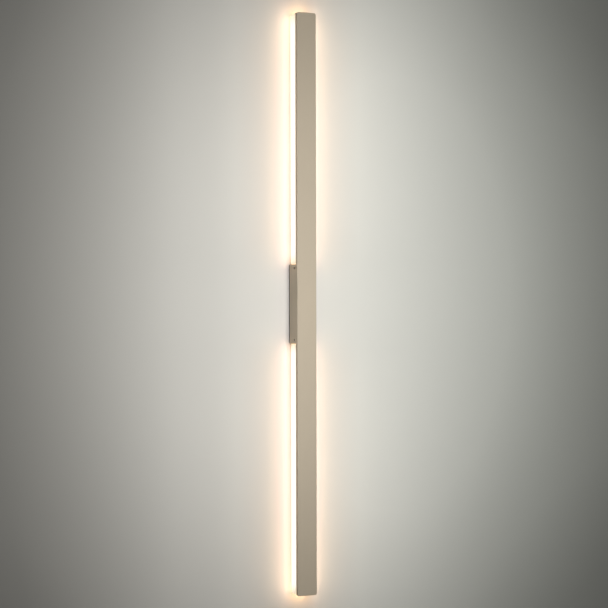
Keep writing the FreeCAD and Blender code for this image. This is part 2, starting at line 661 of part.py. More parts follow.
def diffuser(level, upper):
    """Milky channel, open to the room inside the bar, with a snap bead along each side."""
    name = f"{level}_diffuser"
    length = f"({CHANNEL_STOP} - {CHANNEL_START})"
    rise = section_middle(CHANNEL_START, CHANNEL_STOP, upper)
    foot = f"({BAR_FLOOR} - diffuser_clearance)"
    bead_out = f"({BAR_FLOOR} - bead_rise)"
    outer = block(f"{name}_outer", CHANNEL_WIDTH, length, "diffuser_standoff", foot, rise=rise)
    beads = block(f"{name}_beads", f"{CHANNEL_WIDTH} + 2 * bead_proud", length,
                  f"{bead_out} - bead_height / 2", f"{bead_out} + bead_height / 2", rise=rise)
    inner = block(f"{name}_inner", CHANNEL_INNER, length, "diffuser_standoff + diffuser_wall", foot,
                  rise=rise)
    piece(cut(f"{name}_cut", join(f"{name}_blank", outer, beads), inner), name)


def diffuser_cap(name, rise, turned):
    """Milky end cap with a hollow plug. It stops short of the bar's floor, where leads pass."""
    body = new_body(name)
    far = f"({LIGHT_LEAD_OUT} - light_lead_dia)"
    plug_near = "(diffuser_standoff + diffuser_wall + diffuser_clearance)"
    outline = sketch_on(body, "XY_Plane")
    depth = f"({far} - diffuser_standoff)"
    draw_rectangle(outline, CHANNEL_WIDTH, depth, y=f"-({far} + diffuser_standoff) / 2")
    plate = pad(body, outline, "cap_thick")
    rim = number("cap_thick")
    corners = edges_along(plate, TO_ROOM, lambda edge: abs(edge.CenterOfMass.z - rim) < CLOSE)
    fillet(body, plate, corners, "cap_corner")
    plug = sketch_on(body, "XY_Plane")
    plug_width = f"({CHANNEL_INNER} - 2 * diffuser_clearance)"
    draw_rectangle(plug, plug_width, f"{far} - {plug_near}", y=f"-({far} + {plug_near}) / 2")
    pad(body, plug, "plug_depth", backwards=True)
    well = sketch_on(body, "XY_Plane")
    well_near = f"({plug_near} + diffuser_wall)"
    draw_rectangle(well, f"{plug_width} - 2 * diffuser_wall", f"{far} - {well_near}",
                   y=f"-({far} + {well_near}) / 2")
    pocket(body, well, "plug_depth")
    if turned:
        body.Placement = FreeCAD.Placement(FreeCAD.Vector(), FreeCAD.Rotation(TO_ROOM, 180))
    body.setExpression("Placement.Base.z", cells(rise))


def led_board(level, upper):
    """Aluminium board on heat tape against the bar's floor."""
    height = f"({BOARD_STOP} - {BOARD_START})"
    rise = section_middle(BOARD_START, BOARD_STOP, upper)
    board = block(f"{level}_board", "board_width", height, BOARD_FACE, BOARD_BACK, rise=rise)
    piece(board, f"{level}_led_board")
    tape = block(f"{level}_tape", "board_width", height, BOARD_BACK, BAR_FLOOR, rise=rise)
    piece(tape, f"{level}_board_tape")


def chip(width, height, thick, across, rise):
    """Small box that stands on a board's face."""
    corner = FreeCAD.Vector(across - width / 2, -number(BOARD_FACE), rise - height / 2)
    return Part.makeBox(width, thick, height, corner)


def led_rises():
    """Heights of the LEDs of the upper board."""
    first = number("housing_height / 2 + led_start")
    last = number("bar_length / 2 - led_stop")
    pitch = number("led_pitch")
    count = int((last - first) / pitch) + 1
    return [first + index * pitch for index in range(count)]


def board_parts(level, sign):
    """The LEDs in one row, and a resistor beside every string of them."""
    pitch = number("led_pitch")
    string = int(number("leds_per_string"))
    leds = []
    resistors = []
    for index, rise in enumerate(led_rises()):
        leds.append(chip(number("led_width"), number("led_height"), number("led_thick"), 0, sign * rise))
        if index % string == string // 2:
            resistors.append(chip(number("resistor_width"), number("resistor_height"),
                                  number("resistor_thick"), number("resistor_offset"),
                                  sign * (rise + pitch / 2)))
    for name, solids in ((f"{level}_leds", leds), (f"{level}_resistors", resistors)):
        target = doc.addObject("Part::Feature", name)
        target.Shape = Part.makeCompound(solids)
        piece(target, name)


def solder_joints(level, sides, upper):
    """A flat round joint at the end of each lead on a board."""
    rise = f"({LIGHT_LEAD_END} + solder_dia / 2)"
    level_rise = rise if upper else f"-{rise}"
    joints = []
    for index, across in enumerate(sides):
        joints.append(rod_out(f"{level}_joint_{index}", "solder_dia", f"{BOARD_FACE} - solder_thick",
                              BOARD_FACE, across, level_rise))
    group(f"{level}_solder_joints", *joints)


# ---------------------------------------------------------------- the driver


def driver_ears():
    """Where the screws of the driver's two ears stand."""
    upper_rise = f"({DRIVER_TOP} + driver_ear_length / 2)"
    lower_rise = f"({DRIVER_BOTTOM} - driver_ear_length / 2)"
    upper_side = "(driver_width / 2 - driver_ear_width / 2 - driver_ear_inset)"
    return [(f"-{upper_side}", upper_rise), ("0", lower_rise)]


def driver_case():
    """Plastic box with its open side to the wall, two ears, and posts for its board."""
    body = new_body("driver_case")
    outline = sketch_on(body, "XZ_Plane", DRIVER_RIM)
    draw_rectangle(outline, "driver_width", DRIVER_LENGTH, y=DRIVER_RISE)
    solid = pad(body, outline, f"{HOUSING_FLOOR} - {DRIVER_RIM}")
    rounded = fillet(body, solid, edges_along(solid, TO_ROOM), "driver_corner")
    hollow(body, rounded, -TO_ROOM, "driver_wall")
    ears = sketch_on(body, "XZ_Plane", f"{HOUSING_FLOOR} - driver_ear_thick")
    for across, rise in driver_ears():
        draw_rectangle(ears, "driver_ear_width", "driver_ear_length", across, rise)
    pad(body, ears, "driver_ear_thick")
    posts = sketch_on(body, "XZ_Plane", CIRCUIT_FRONT)
    post_side = "(driver_width / 2 - driver_wall - post_side / 2)"
    post_rise = f"({DRIVER_LENGTH} / 2 - driver_wall - post_side / 2)"
    for across in (f"-{post_side}", post_side):
        for rise in (f"{DRIVER_RISE} - {post_rise}", f"{DRIVER_RISE} + {post_rise}"):
            draw_rectangle(posts, "post_side", "post_side", across, rise)
    pad(body, posts, "post_height")
    ear_holes = sketch_on(body, "XZ_Plane", f"{HOUSING_FLOOR} - driver_ear_thick")
    for across, rise in driver_ears():
        draw_circle(ear_holes, "driver_screw_dia + screw_clearance", across, rise)
    pocket(body, ear_holes, "driver_ear_thick", backwards=True)
    top_holes = sketch_on(body, "XY_Plane", f"{DRIVER_TOP} - driver_wall")
    for across in ("-driver_lead_side", "driver_lead_side"):
        draw_circle(top_holes, "light_lead_dia + lead_hole_gap", across,
                    f"-({CIRCUIT_BACK} - light_lead_dia / 2)")
    pocket(body, top_holes, "driver_wall", backwards=True)
    bottom_holes = sketch_on(body, "XY_Plane", DRIVER_BOTTOM)
    for across in ("-pole_spacing", "0"):
        draw_circle(bottom_holes, "mains_lead_dia + lead_hole_gap", across,
                    f"-({CIRCUIT_BACK} - mains_lead_dia / 2)")
    pocket(body, bottom_holes, "driver_wall", backwards=True)


def driver_lid():
    """Flat lid that closes the case on its wall side."""
    body = new_body("driver_lid")
    outline = sketch_on(body, "XZ_Plane", DRIVER_BACK)
    draw_rectangle(outline, "driver_width", DRIVER_LENGTH, y=DRIVER_RISE)
    lid = pad(body, outline, "driver_wall")
    fillet(body, lid, edges_along(lid, TO_ROOM), "driver_corner")


def driver_circuit():
    """Board on the case's posts, with the larger electronic pieces standing on it."""
    width = "(driver_width - 2 * driver_wall - 2 * circuit_clearance)"
    height = f"({DRIVER_LENGTH} - 2 * driver_wall - 2 * circuit_clearance)"
    board = block("circuit", width, height, CIRCUIT_BACK, CIRCUIT_FRONT, rise=DRIVER_RISE)
    piece(board, "driver_board")

    top = f"({CIRCUIT_BACK} - part_height)"
    core_middle = f"({DRIVER_BOTTOM} + core_rise)"
    core_inner = "(core_height - 2 * core_leg)"
    core = block("core", "core_width", "core_height", top, CIRCUIT_BACK, rise=core_middle)
    core_gap = block("core_gap", "core_width", core_inner, f"{top} + core_yoke",
                     f"{CIRCUIT_BACK} - core_yoke", rise=core_middle)
    piece(cut("core_cut", core, core_gap), "driver_transformer_core")
    winding = block("winding", "winding_width", f"{core_inner} - 2 * winding_gap",
                    f"{top} + core_yoke + winding_gap", f"{CIRCUIT_BACK} - core_yoke - winding_gap",
                    rise=core_middle)
    piece(winding, "driver_transformer_winding")

    input_can = rod_out("input_can", "input_can_dia", top, CIRCUIT_BACK, "-can_side",
                        f"{DRIVER_BOTTOM} + input_rise")
    output_can = rod_out("output_can", "output_can_dia", top, CIRCUIT_BACK, "can_side",
                         f"{DRIVER_TOP} - output_drop")
    group("driver_capacitors", input_can, output_can)

    choke = doc.addObject("Part::Torus", "choke")
    choke.Placement = FreeCAD.Placement(FreeCAD.Vector(), FreeCAD.Rotation(ACROSS, 90))
    bind(choke, Radius1="choke_dia / 2", Radius2="choke_thick / 2")
    choke_side = "(driver_width / 2 - driver_wall - choke_gap - choke_dia / 2 - choke_thick / 2)"
    place(choke, choke_side, f"{CIRCUIT_BACK} - choke_thick / 2", f"{DRIVER_BOTTOM} + input_rise")
    piece(choke, "driver_choke")

    fuse = rod_up("fuse", "fuse_dia", "fuse_length", "fuse_side", f"{CIRCUIT_BACK} - fuse_dia / 2",
                  f"{DRIVER_BOTTOM} + fuse_rise")
    piece(fuse, "driver_fuse")
    rectifier = block("rectifier", "rectifier_width", "rectifier_height", f"{CIRCUIT_BACK} - rectifier_thick",
                      CIRCUIT_BACK, "-rectifier_side", f"{DRIVER_BOTTOM} + rectifier_rise")
    piece(rectifier, "driver_rectifier")


def driver_screws():
    """Two screws through the driver's ears into the housing's floor."""
    seat = f"({HOUSING_FLOOR} - driver_ear_thick)"
    tip = f"{HOUSING_FRONT} - driver_screw_end"
    screws = []
    for index, (across, rise) in enumerate(driver_ears()):
        screws.append(socket_screw(f"driver_screw_{index}", "driver_screw_dia", tip, seat, across, rise))
    group("driver_screws", *screws)


# ---------------------------------------------------------------- mains connection


def terminal_block():
    """Three-pole plastic block on the plate, open above and below for the leads."""
    blank = block("terminal_blank", "terminal_width", "terminal_height", PLATE_FACE, TERMINAL_FACE,
                  rise=TERMINAL_RISE)
    openings = []
    clamps = []
    clamp_screws = []
    channel_side = "(clamp_side + 2 * clamp_clearance)"
    for pole, across in enumerate(("-pole_spacing", "0", "pole_spacing")):
        openings.append(block(f"pole_{pole}", channel_side, "terminal_height",
                              f"{POLE_OUT} - {channel_side} / 2", f"{POLE_OUT} + {channel_side} / 2",
                              across, TERMINAL_RISE))
        clamp = block(f"clamp_{pole}", "clamp_side", "clamp_length", f"{POLE_OUT} - clamp_side / 2",
                      f"{POLE_OUT} + clamp_side / 2", across, TERMINAL_RISE)
        bore = rod_up(f"clamp_{pole}_bore", "clamp_bore", "clamp_length", across, POLE_OUT,
                      f"{TERMINAL_RISE} - clamp_length / 2")
        threads = []
        for row, rise in enumerate((f"{TERMINAL_RISE} - clamp_screw_spacing / 2",
                                    f"{TERMINAL_RISE} + clamp_screw_spacing / 2")):
            tip = f"({POLE_OUT} + clamp_bore / 2)"
            head = f"({tip} + clamp_screw_length)"
            name = f"clamp_screw_{pole}_{row}"
            threads.append(rod_out(f"{name}_thread", "clamp_screw_dia", POLE_OUT,
                                   f"{POLE_OUT} + clamp_side / 2", across, rise))
            openings.append(rod_out(f"{name}_well", "clamp_screw_dia + 2 * screw_clearance", POLE_OUT,
                                    TERMINAL_FACE, across, rise))
            shank = rod_out(f"{name}_shank", "clamp_screw_dia", tip, head, across, rise)
            slit = block(f"{name}_slit", "clamp_screw_dia", f"{SLIT_WIDTH} * clamp_screw_dia",
                         f"{head} - {SLIT_DEPTH} * clamp_screw_dia", head, across, rise)
            clamp_screws.append(cut(name, shank, slit))
        clamps.append(cut(f"clamp_{pole}_cut", clamp, bore, *threads))
    seat = f"({POLE_OUT} + clamp_side / 2 + screw_clearance)"
    fixing_screws = []
    for index, across in enumerate(("-pole_spacing / 2", "pole_spacing / 2")):
        name = f"terminal_screw_{index}"
        openings.append(rod_out(f"{name}_hole", "terminal_screw_dia + screw_clearance", PLATE_FACE,
                                TERMINAL_FACE, across, TERMINAL_RISE))
        openings.append(rod_out(f"{name}_well", f"{HEAD_WIDTH} * terminal_screw_dia + screw_clearance", seat,
                                TERMINAL_FACE, across, TERMINAL_RISE))
        shank = rod_out(f"{name}_shank", "terminal_screw_dia", "pad_thick + screw_clearance", seat, across,
                        TERMINAL_RISE)
        head = rod_out(f"{name}_head", f"{HEAD_WIDTH} * terminal_screw_dia", seat,
                       f"{seat} + {HEAD_HEIGHT} * terminal_screw_dia", across, TERMINAL_RISE)
        fixing_screws.append(join(name, shank, head))
    piece(cut("terminal_block_cut", blank, *openings), "terminal_block")
    group("terminal_clamps", *clamps)
    group("terminal_clamp_screws", *clamp_screws)
    group("terminal_fixing_screws", *fixing_screws)


def earth_point():
    """Screw, washer and ring lug that bond the bracket to the earth pole."""
    across = "pole_spacing"
    rise = EARTH_RISE
    lug_face = f"({PLATE_FACE} + lug_thick)"
    washer_face = f"({lug_face} + washer_thick)"
    ring = rod_out("lug_ring", "lug_dia", PLATE_FACE, lug_face, across, rise)
    barrel = block("lug_barrel", "barrel_side", "barrel_length", PLATE_FACE, f"{PLATE_FACE} + barrel_side",
                   across, f"{LUG_TOP} - barrel_length / 2")
    hole = rod_out("lug_hole", "earth_screw_dia + screw_clearance", PLATE_FACE, lug_face, across, rise)
    bore = rod_up("lug_bore", "mains_lead_dia", "barrel_length - 2 * lug_thick", across,
                  f"{PLATE_FACE} + barrel_side / 2", f"{LUG_TOP} - barrel_length")
    piece(cut("earth_lug_cut", join("lug_blank", ring, barrel), hole, bore), "earth_lug")
    disc = rod_out("earth_disc", "lug_dia - 2 * lug_thick", lug_face, washer_face, across, rise)
    disc_hole = rod_out("earth_disc_hole", "earth_screw_dia + screw_clearance", lug_face, washer_face,
                        across, rise)
    piece(cut("earth_washer_cut", disc, disc_hole), "earth_washer")
    shank = rod_out("earth_shank", "earth_screw_dia", "pad_thick", washer_face, across, rise)
    head_face = f"({washer_face} + {HEAD_HEIGHT} * earth_screw_dia)"
    head_dia = f"{HEAD_WIDTH} * earth_screw_dia"
    head = rod_out("earth_head", head_dia, washer_face, head_face, across, rise)
    slit = block("earth_slit", head_dia, f"{SLIT_WIDTH} * earth_screw_dia",
                 f"{head_face} - {SLIT_DEPTH} * earth_screw_dia", head_face, across, rise)
    piece(cut("earth_screw_cut", join("earth_blank", shank, head), slit), "earth_screw")


# ---------------------------------------------------------------- the leads


def route(points):
    """Straight runs joined by tangent arcs, each as large as its two runs allow."""
    edges = []
    start = points[0]
    for before, corner, after in zip(points, points[1:], points[2:]):
        arriving = corner - before
        leaving = after - corner
        turn = arriving.getAngle(leaving)
        setback = 0.45 * min(arriving.Length, leaving.Length)
        arriving.normalize()
        leaving.normalize()
        arc_start = corner - arriving * setback
        arc_end = corner + leaving * setback
        radius = setback / math.tan(turn / 2)
        inward = leaving - arriving
        inward.normalize()
        arc_middle = corner + inward * (radius / math.cos(turn / 2) - radius)
        edges.append(Part.LineSegment(start, arc_start).toShape())
        edges.append(Part.Arc(arc_start, arc_middle, arc_end).toShape())
        start = arc_end
    edges.append(Part.LineSegment(start, points[-1]).toShape())
    return Part.Wire(edges)


def lead(name, dia, *stations):
    """Insulated lead along stations given as across, out and rise."""
    points = [FreeCAD.Vector(number(x), -number(out), number(rise)) for x, out, rise in stations]
    path = route(points)
    radius = number(dia) / 2
    section = Part.Wire(Part.Circle(points[0], points[1] - points[0], radius).toShape())
    solid = path.makePipeShell([section], True, False)
    expected = math.pi * radius**2 * path.Length
    if abs(solid.Volume / expected - 1) > CLOSE:
        raise RuntimeError(f"{name} holds {solid.Volume:.1f} mm3, not {expected:.1f} mm3")
    target = doc.addObject("Part::Feature", name)
    target.Shape = solid
    piece(target, name)


def mains_leads():
    """Live and neutral turn back under the terminal block, and earth runs up to its lug."""
    clamp_end = f"({TERMINAL_RISE} - clamp_length / 2)"
    turn_rise = f"({clamp_end} - ({MAINS_LEAD_OUT} - {POLE_OUT}))"
    for name, across in (("live_lead", "-pole_spacing"), ("neutral_lead", "0")):
        lead(name, "mains_lead_dia",
             (across, MAINS_LEAD_OUT, f"{DRIVER_BOTTOM} + driver_wall + lead_inside"),
             (across, MAINS_LEAD_OUT, turn_rise),
             (across, POLE_OUT, turn_rise),
             (across, POLE_OUT, f"{clamp_end} + lead_inside"))
    lug_out = f"({PLATE_FACE} + barrel_side / 2)"
    lug_end = f"({LUG_TOP} - barrel_length)"
    clamp_top = f"({TERMINAL_RISE} + clamp_length / 2)"
    lead("earth_lead", "mains_lead_dia",
         ("pole_spacing", lug_out, f"{lug_end} + lead_inside"),
         ("pole_spacing", lug_out, f"{lug_end} - lead_inside"),
         ("pole_spacing", POLE_OUT, f"{TERMINAL_TOP} + lead_inside"),
         ("pole_spacing", POLE_OUT, f"{clamp_top} - lead_inside"))


def light_leads():
    """Driver to upper board through the window, and upper board to lower board past the block."""
    driver_out = f"({CIRCUIT_BACK} - light_lead_dia / 2)"
    for name, across in (("driver_positive_lead", "-driver_lead_side"),
                         ("driver_negative_lead", "driver_lead_side")):
        lead(name, "light_lead_dia",
             (across, driver_out, f"{DRIVER_TOP} - driver_wall - lead_inside"),
             (across, driver_out, f"{WINDOW_RISE} - window_height / 2 - lead_room"),
             (across, LIGHT_LEAD_OUT, f"{WINDOW_RISE} + window_height / 2 - lead_room"),
             (across, LIGHT_LEAD_OUT, LIGHT_LEAD_END))
    bend_start = f"({BLOCK_HEIGHT} / 2 + lead_room)"
    bend_stop = f"({BOARD_START} + lead_room)"
    for name, sign in (("link_positive_lead", "-"), ("link_negative_lead", "")):
        lead(name, "light_lead_dia",
             (f"{sign}link_end_side", LIGHT_LEAD_OUT, f"-{LIGHT_LEAD_END}"),
             (f"{sign}link_end_side", LIGHT_LEAD_OUT, f"-{bend_stop}"),
             (f"{sign}{LINK_SIDE}", LIGHT_LEAD_OUT, f"-{bend_start}"),
             (f"{sign}{LINK_SIDE}", LIGHT_LEAD_OUT, bend_start),
             (f"{sign}link_end_side", LIGHT_LEAD_OUT, bend_stop),
             (f"{sign}link_end_side", LIGHT_LEAD_OUT, LIGHT_LEAD_END))


# ---------------------------------------------------------------- the whole light

front_bar()
mount_housing()
wall_bracket()
wall_pad()
bar_block()
bar_fasteners()
side_screws()
cable_grommet()
lead_bushing()
for level, upper in (("upper", True), ("lower", False)):
    diffuser(level, upper)
    outer_rise = CHANNEL_STOP if upper else f"-{CHANNEL_STOP}"
    inner_rise = CHANNEL_START if upper else f"-{CHANNEL_START}"
    diffuser_cap(f"{level}_diffuser_outer_cap", outer_rise, turned=not upper)
    diffuser_cap(f"{level}_diffuser_inner_cap", inner_rise, turned=upper)
    led_board(level, upper)
    board_parts(level, 1 if upper else -1)
solder_joints("upper", ("-link_end_side", "-driver_lead_side", "driver_lead_side", "link_end_side"), True)
solder_joints("lower", ("-link_end_side", "link_end_side"), False)
driver_case()
driver_lid()
driver_circuit()
driver_screws()
terminal_block()
earth_point()
mains_leads()
light_leads()

doc.recompute()
for target in doc.Objects:
    if {"Invalid", "Error"} & set(target.State):
        raise RuntimeError(f"{target.Name} failed: {target.State}")
for target in pieces:
    if target.Shape.isNull() or not target.Shape.isValid():
        raise RuntimeError(f"{target.Label} has no valid shape")

os.makedirs("parts", exist_ok=True)
for target in pieces:
    target.Shape.exportStep(f"parts/{target.Label}.step")
    print(f"{target.Label}: {len(target.Shape.Solids)} solids, {target.Shape.Volume:.1f} mm3")
print(f"{len(pieces)} pieces")
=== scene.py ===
import json
import math

import bpy
import numpy as np
from mathutils import Matrix, Vector


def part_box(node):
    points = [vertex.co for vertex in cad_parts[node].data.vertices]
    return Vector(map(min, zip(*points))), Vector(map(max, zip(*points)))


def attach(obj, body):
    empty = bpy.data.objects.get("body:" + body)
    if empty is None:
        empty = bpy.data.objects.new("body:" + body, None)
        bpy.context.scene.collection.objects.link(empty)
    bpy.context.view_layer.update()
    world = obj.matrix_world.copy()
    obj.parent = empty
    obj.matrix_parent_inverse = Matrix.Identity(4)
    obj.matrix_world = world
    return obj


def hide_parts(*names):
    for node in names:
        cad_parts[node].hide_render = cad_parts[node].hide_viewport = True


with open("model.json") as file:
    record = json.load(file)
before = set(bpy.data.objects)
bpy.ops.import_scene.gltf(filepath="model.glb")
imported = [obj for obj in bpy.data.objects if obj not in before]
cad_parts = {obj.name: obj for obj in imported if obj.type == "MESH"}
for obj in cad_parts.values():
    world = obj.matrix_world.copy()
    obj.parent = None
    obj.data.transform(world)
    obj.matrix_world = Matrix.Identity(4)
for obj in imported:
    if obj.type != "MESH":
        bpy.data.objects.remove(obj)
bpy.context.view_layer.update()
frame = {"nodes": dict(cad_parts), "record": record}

# Slim vertical wall light, seen from its left on a pale wall. Shapes are in millimetres, as in
# the CAD source, and "out" is a distance from the wall towards the room, along -Y. Patterns,
# the stage, the lamps and the camera are in metres.

MM = 0.001
NODES = frame["nodes"]
FINISH_OF = {part["node"]: part["material_slot"] for part in frame["record"]["subparts"]}

QUARTER = math.pi / 2

# Bar: half its width and length, its corners' radius, and how far out its levels lie. The
# channels' snap beads sit in its groove. The boards are taped to its floor.
BAR_HALF_WIDTH = 18.5
BAR_HALF_LENGTH = 500.0
BAR_CORNER = 3.5
BAR_BACK = 25.5
BAR_FLOOR = 30.5
BAR_FACE = 32.0
BEAD_LOW = 27.4
BEAD_HIGH = 28.6
BOARD_FACE = 28.7

# Milky channels: half width, thickness, and how far out the back and the foot lie.
CHANNEL_HALF = 16.9
CHANNEL_WALL = 1.2
CHANNEL_BACK = 4.5
CHANNEL_FOOT = 30.4

# Rows on the boards: the first and the last light above the bar's middle, the first resistor,
# and their pitches. The lower board mirrors the upper one.
ROW_START = 84.5
ROW_STOP = 484.5
LIGHT_PITCH = 12.5
FIRST_RESISTOR = 128.25
RESISTOR_PITCH = 75.0

# Segments of a turned piece, and the angle in degrees from which an edge of a piece is sharp.
SEGMENTS = 48
SHARP_ANGLE = 32

# Screw sockets: the chamfer at the mouth, and the floor's width as a share of the mouth's.
SOCKET_CHAMFER = 0.08
SOCKET_TAPER = 0.96


# ------------------------------------- surfaces worked out with numpy


def arc(centre, radius, start, stop, steps=6):
    """Points of a circle from one angle to another: centre + r (cos a, sin a)."""
    angle = np.linspace(start, stop, steps)
    return np.stack([centre[0] + radius * np.cos(angle), centre[1] + radius * np.sin(angle)], -1)


def full_turn(count):
    """Angles of a full turn in equal steps."""
    return np.arange(count) * 2 * math.pi / count


def skin(rings, closed=False):
    """Skin over closed rings: point (i, j) is point j of ring i, and a quad joins (i, j),
    (i, j+1), (i+1, j+1), (i+1, j). A closed skin joins its last ring to its first one. An open
    skin fills both."""
    rings = np.asarray(rings, float)
    rows, columns = rings.shape[:2]
    i, j = np.meshgrid(np.arange(rows if closed else rows - 1), np.arange(columns), indexing="ij")
    above, beside = (i + 1) % rows, (j + 1) % columns
    quads = np.stack([i * columns + j, i * columns + beside,
                      above * columns + beside, above * columns + j], -1)
    faces = quads.reshape(-1, 4).tolist()
    if not closed:
        faces += [list(range(columns))[::-1], list(range((rows - 1) * columns, rows * columns))]
    return rings.reshape(-1, 3), faces


def rounded_outline(half_width, half_height, corner, steps):
    """Rectangle with a quarter circle at each corner, beginning with the upper right one."""
    quarters = []
    for turn, (side, end) in enumerate(((1, 1), (-1, 1), (-1, -1), (1, -1))):
        centre = (side * (half_width - corner), end * (half_height - corner))
        quarters.append(arc(centre, corner, turn * QUARTER, (turn + 1) * QUARTER, steps))
    return np.concatenate(quarters)


def tray_rings(half_width, half_height, corner, profile, steps):
    """A profile of (inset, out) carried round a rounded rectangle: each ring is the outline
    drawn in by the inset, at that distance out from the wall."""
    smallest_corner = 0.1
    rings = []
    for inset, out in profile:
        radius = max(corner - inset, smallest_corner)
        outline = rounded_outline(half_width - inset, half_height - inset, radius, steps)
        rings.append(np.insert(outline, 1, -out, axis=1))
    return rings


# Axis directions: columns are where a turned piece's x, y and its own axis go.
ALONG = {
    "out": np.array([[1, 0, 0], [0, 0, -1], [0, 1, 0]], float),
    "back": np.array([[1, 0, 0], [0, 0, 1], [0, -1, 0]], float),
    "up": np.eye(3),
    "right": np.array([[0, 0, 1], [1, 0, 0], [0, 1, 0]], float),
    "left": np.array([[0, 0, -1], [-1, 0, 0], [0, 1, 0]], float),
}


def turned(profile, direction, origin, segments=SEGMENTS, bored=False):
    """A profile of (radius, along) turned about an axis, (r cos a, r sin a, s), and laid along
    a direction from the origin. A radius may be an array over the segments, for sockets and
    threads. A bored piece's profile is closed: over its face, and back through its bore."""
    angle = full_turn(segments)
    across, rise = np.cos(angle), np.sin(angle)
    rings = [np.stack(np.broadcast_arrays(radius * across, radius * rise, along), -1)
             for radius, along in profile]
    vertices, faces = skin(rings, closed=bored)
    return vertices @ ALONG[direction].T + np.array(origin, float), faces


def hexagon(across_flats):
    """Radius of a six-sided socket over the angle: a / (2 cos t), with t the angle from the
    middle of the nearest side."""
    side = math.pi / 3
    from_middle = np.mod(full_turn(SEGMENTS) + side / 2, side) - side / 2
    return across_flats / 2 / np.cos(from_middle)


def thread(radius, pitch, start, stop):
    """Profile of a screw thread: the radius falls by up to 0.5 pitch and rises again once a
    pitch, and its phase turns once round the axis, which makes the helix. It runs out at both
    ends."""
    rings_per_pitch = 6
    around = full_turn(SEGMENTS) / (2 * math.pi)
    count = max(int((stop - start) / pitch * rings_per_pitch), 2)
    rings = []
    for along in np.linspace(start, stop, count + 1):
        phase = np.mod(along / pitch - around, 1.0)
        run_out = min(1.0, (along - start) / pitch, (stop - along) / pitch)
        rings.append((radius - 0.5 * pitch * np.abs(2 * phase - 1) * run_out, along))
    return rings


def tube(points, normals, radius, sides):
    """Round tube along a closed line: circles of the radius in the plane of each point's
    normal and of tangent x normal."""
    tangents = np.roll(points, -1, 0) - np.roll(points, 1, 0)
    tangents /= np.linalg.norm(tangents, axis=1, keepdims=True)
    normals = normals - tangents * np.sum(tangents * normals, 1, keepdims=True)
    normals /= np.linalg.norm(normals, axis=1, keepdims=True)
    across = np.cross(tangents, normals)
    turn = full_turn(sides)[None, :, None]
    circles = np.cos(turn) * normals[:, None] + np.sin(turn) * across[:, None]
    return skin(points[:, None] + radius * circles, closed=True)


def merged(parts):
    """Several meshes' vertices and faces as one."""
    vertices = []
    faces = []
    count = 0
    for points, polygons in parts:
        vertices.append(points)
        faces += [[corner + count for corner in polygon] for polygon in polygons]
        count += len(points)
    return np.concatenate(vertices), faces


def shade_evenly(piece):
    """Large flat faces keep their shading next to the small ones of a rounding."""
    even = piece.modifiers.new("even shading", "WEIGHTED_NORMAL")
    even.keep_sharp = True


def make_piece(name, parts, slot, replaced):
    """Put meshes given in millimetres into one object at the origin, in the place of a CAD
    node and riding on the light."""
    vertices, faces = merged(parts)
    mesh = bpy.data.meshes.new(name)
    mesh.from_pydata((vertices * MM).tolist(), [], faces)
    mesh.validate()
    mesh.shade_smooth()
    mesh.set_sharp_from_angle(angle=math.radians(SHARP_ANGLE))
    mesh.materials.append(MATERIALS[slot])
    piece = bpy.data.objects.new(name, mesh)
    bpy.context.scene.collection.objects.link(piece)
    shade_evenly(piece)
    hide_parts(replaced)
    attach(piece, "root")


# ------------------------------------- node trees


def colour(red, green, blue):
    return (red, green, blue, 1.0)


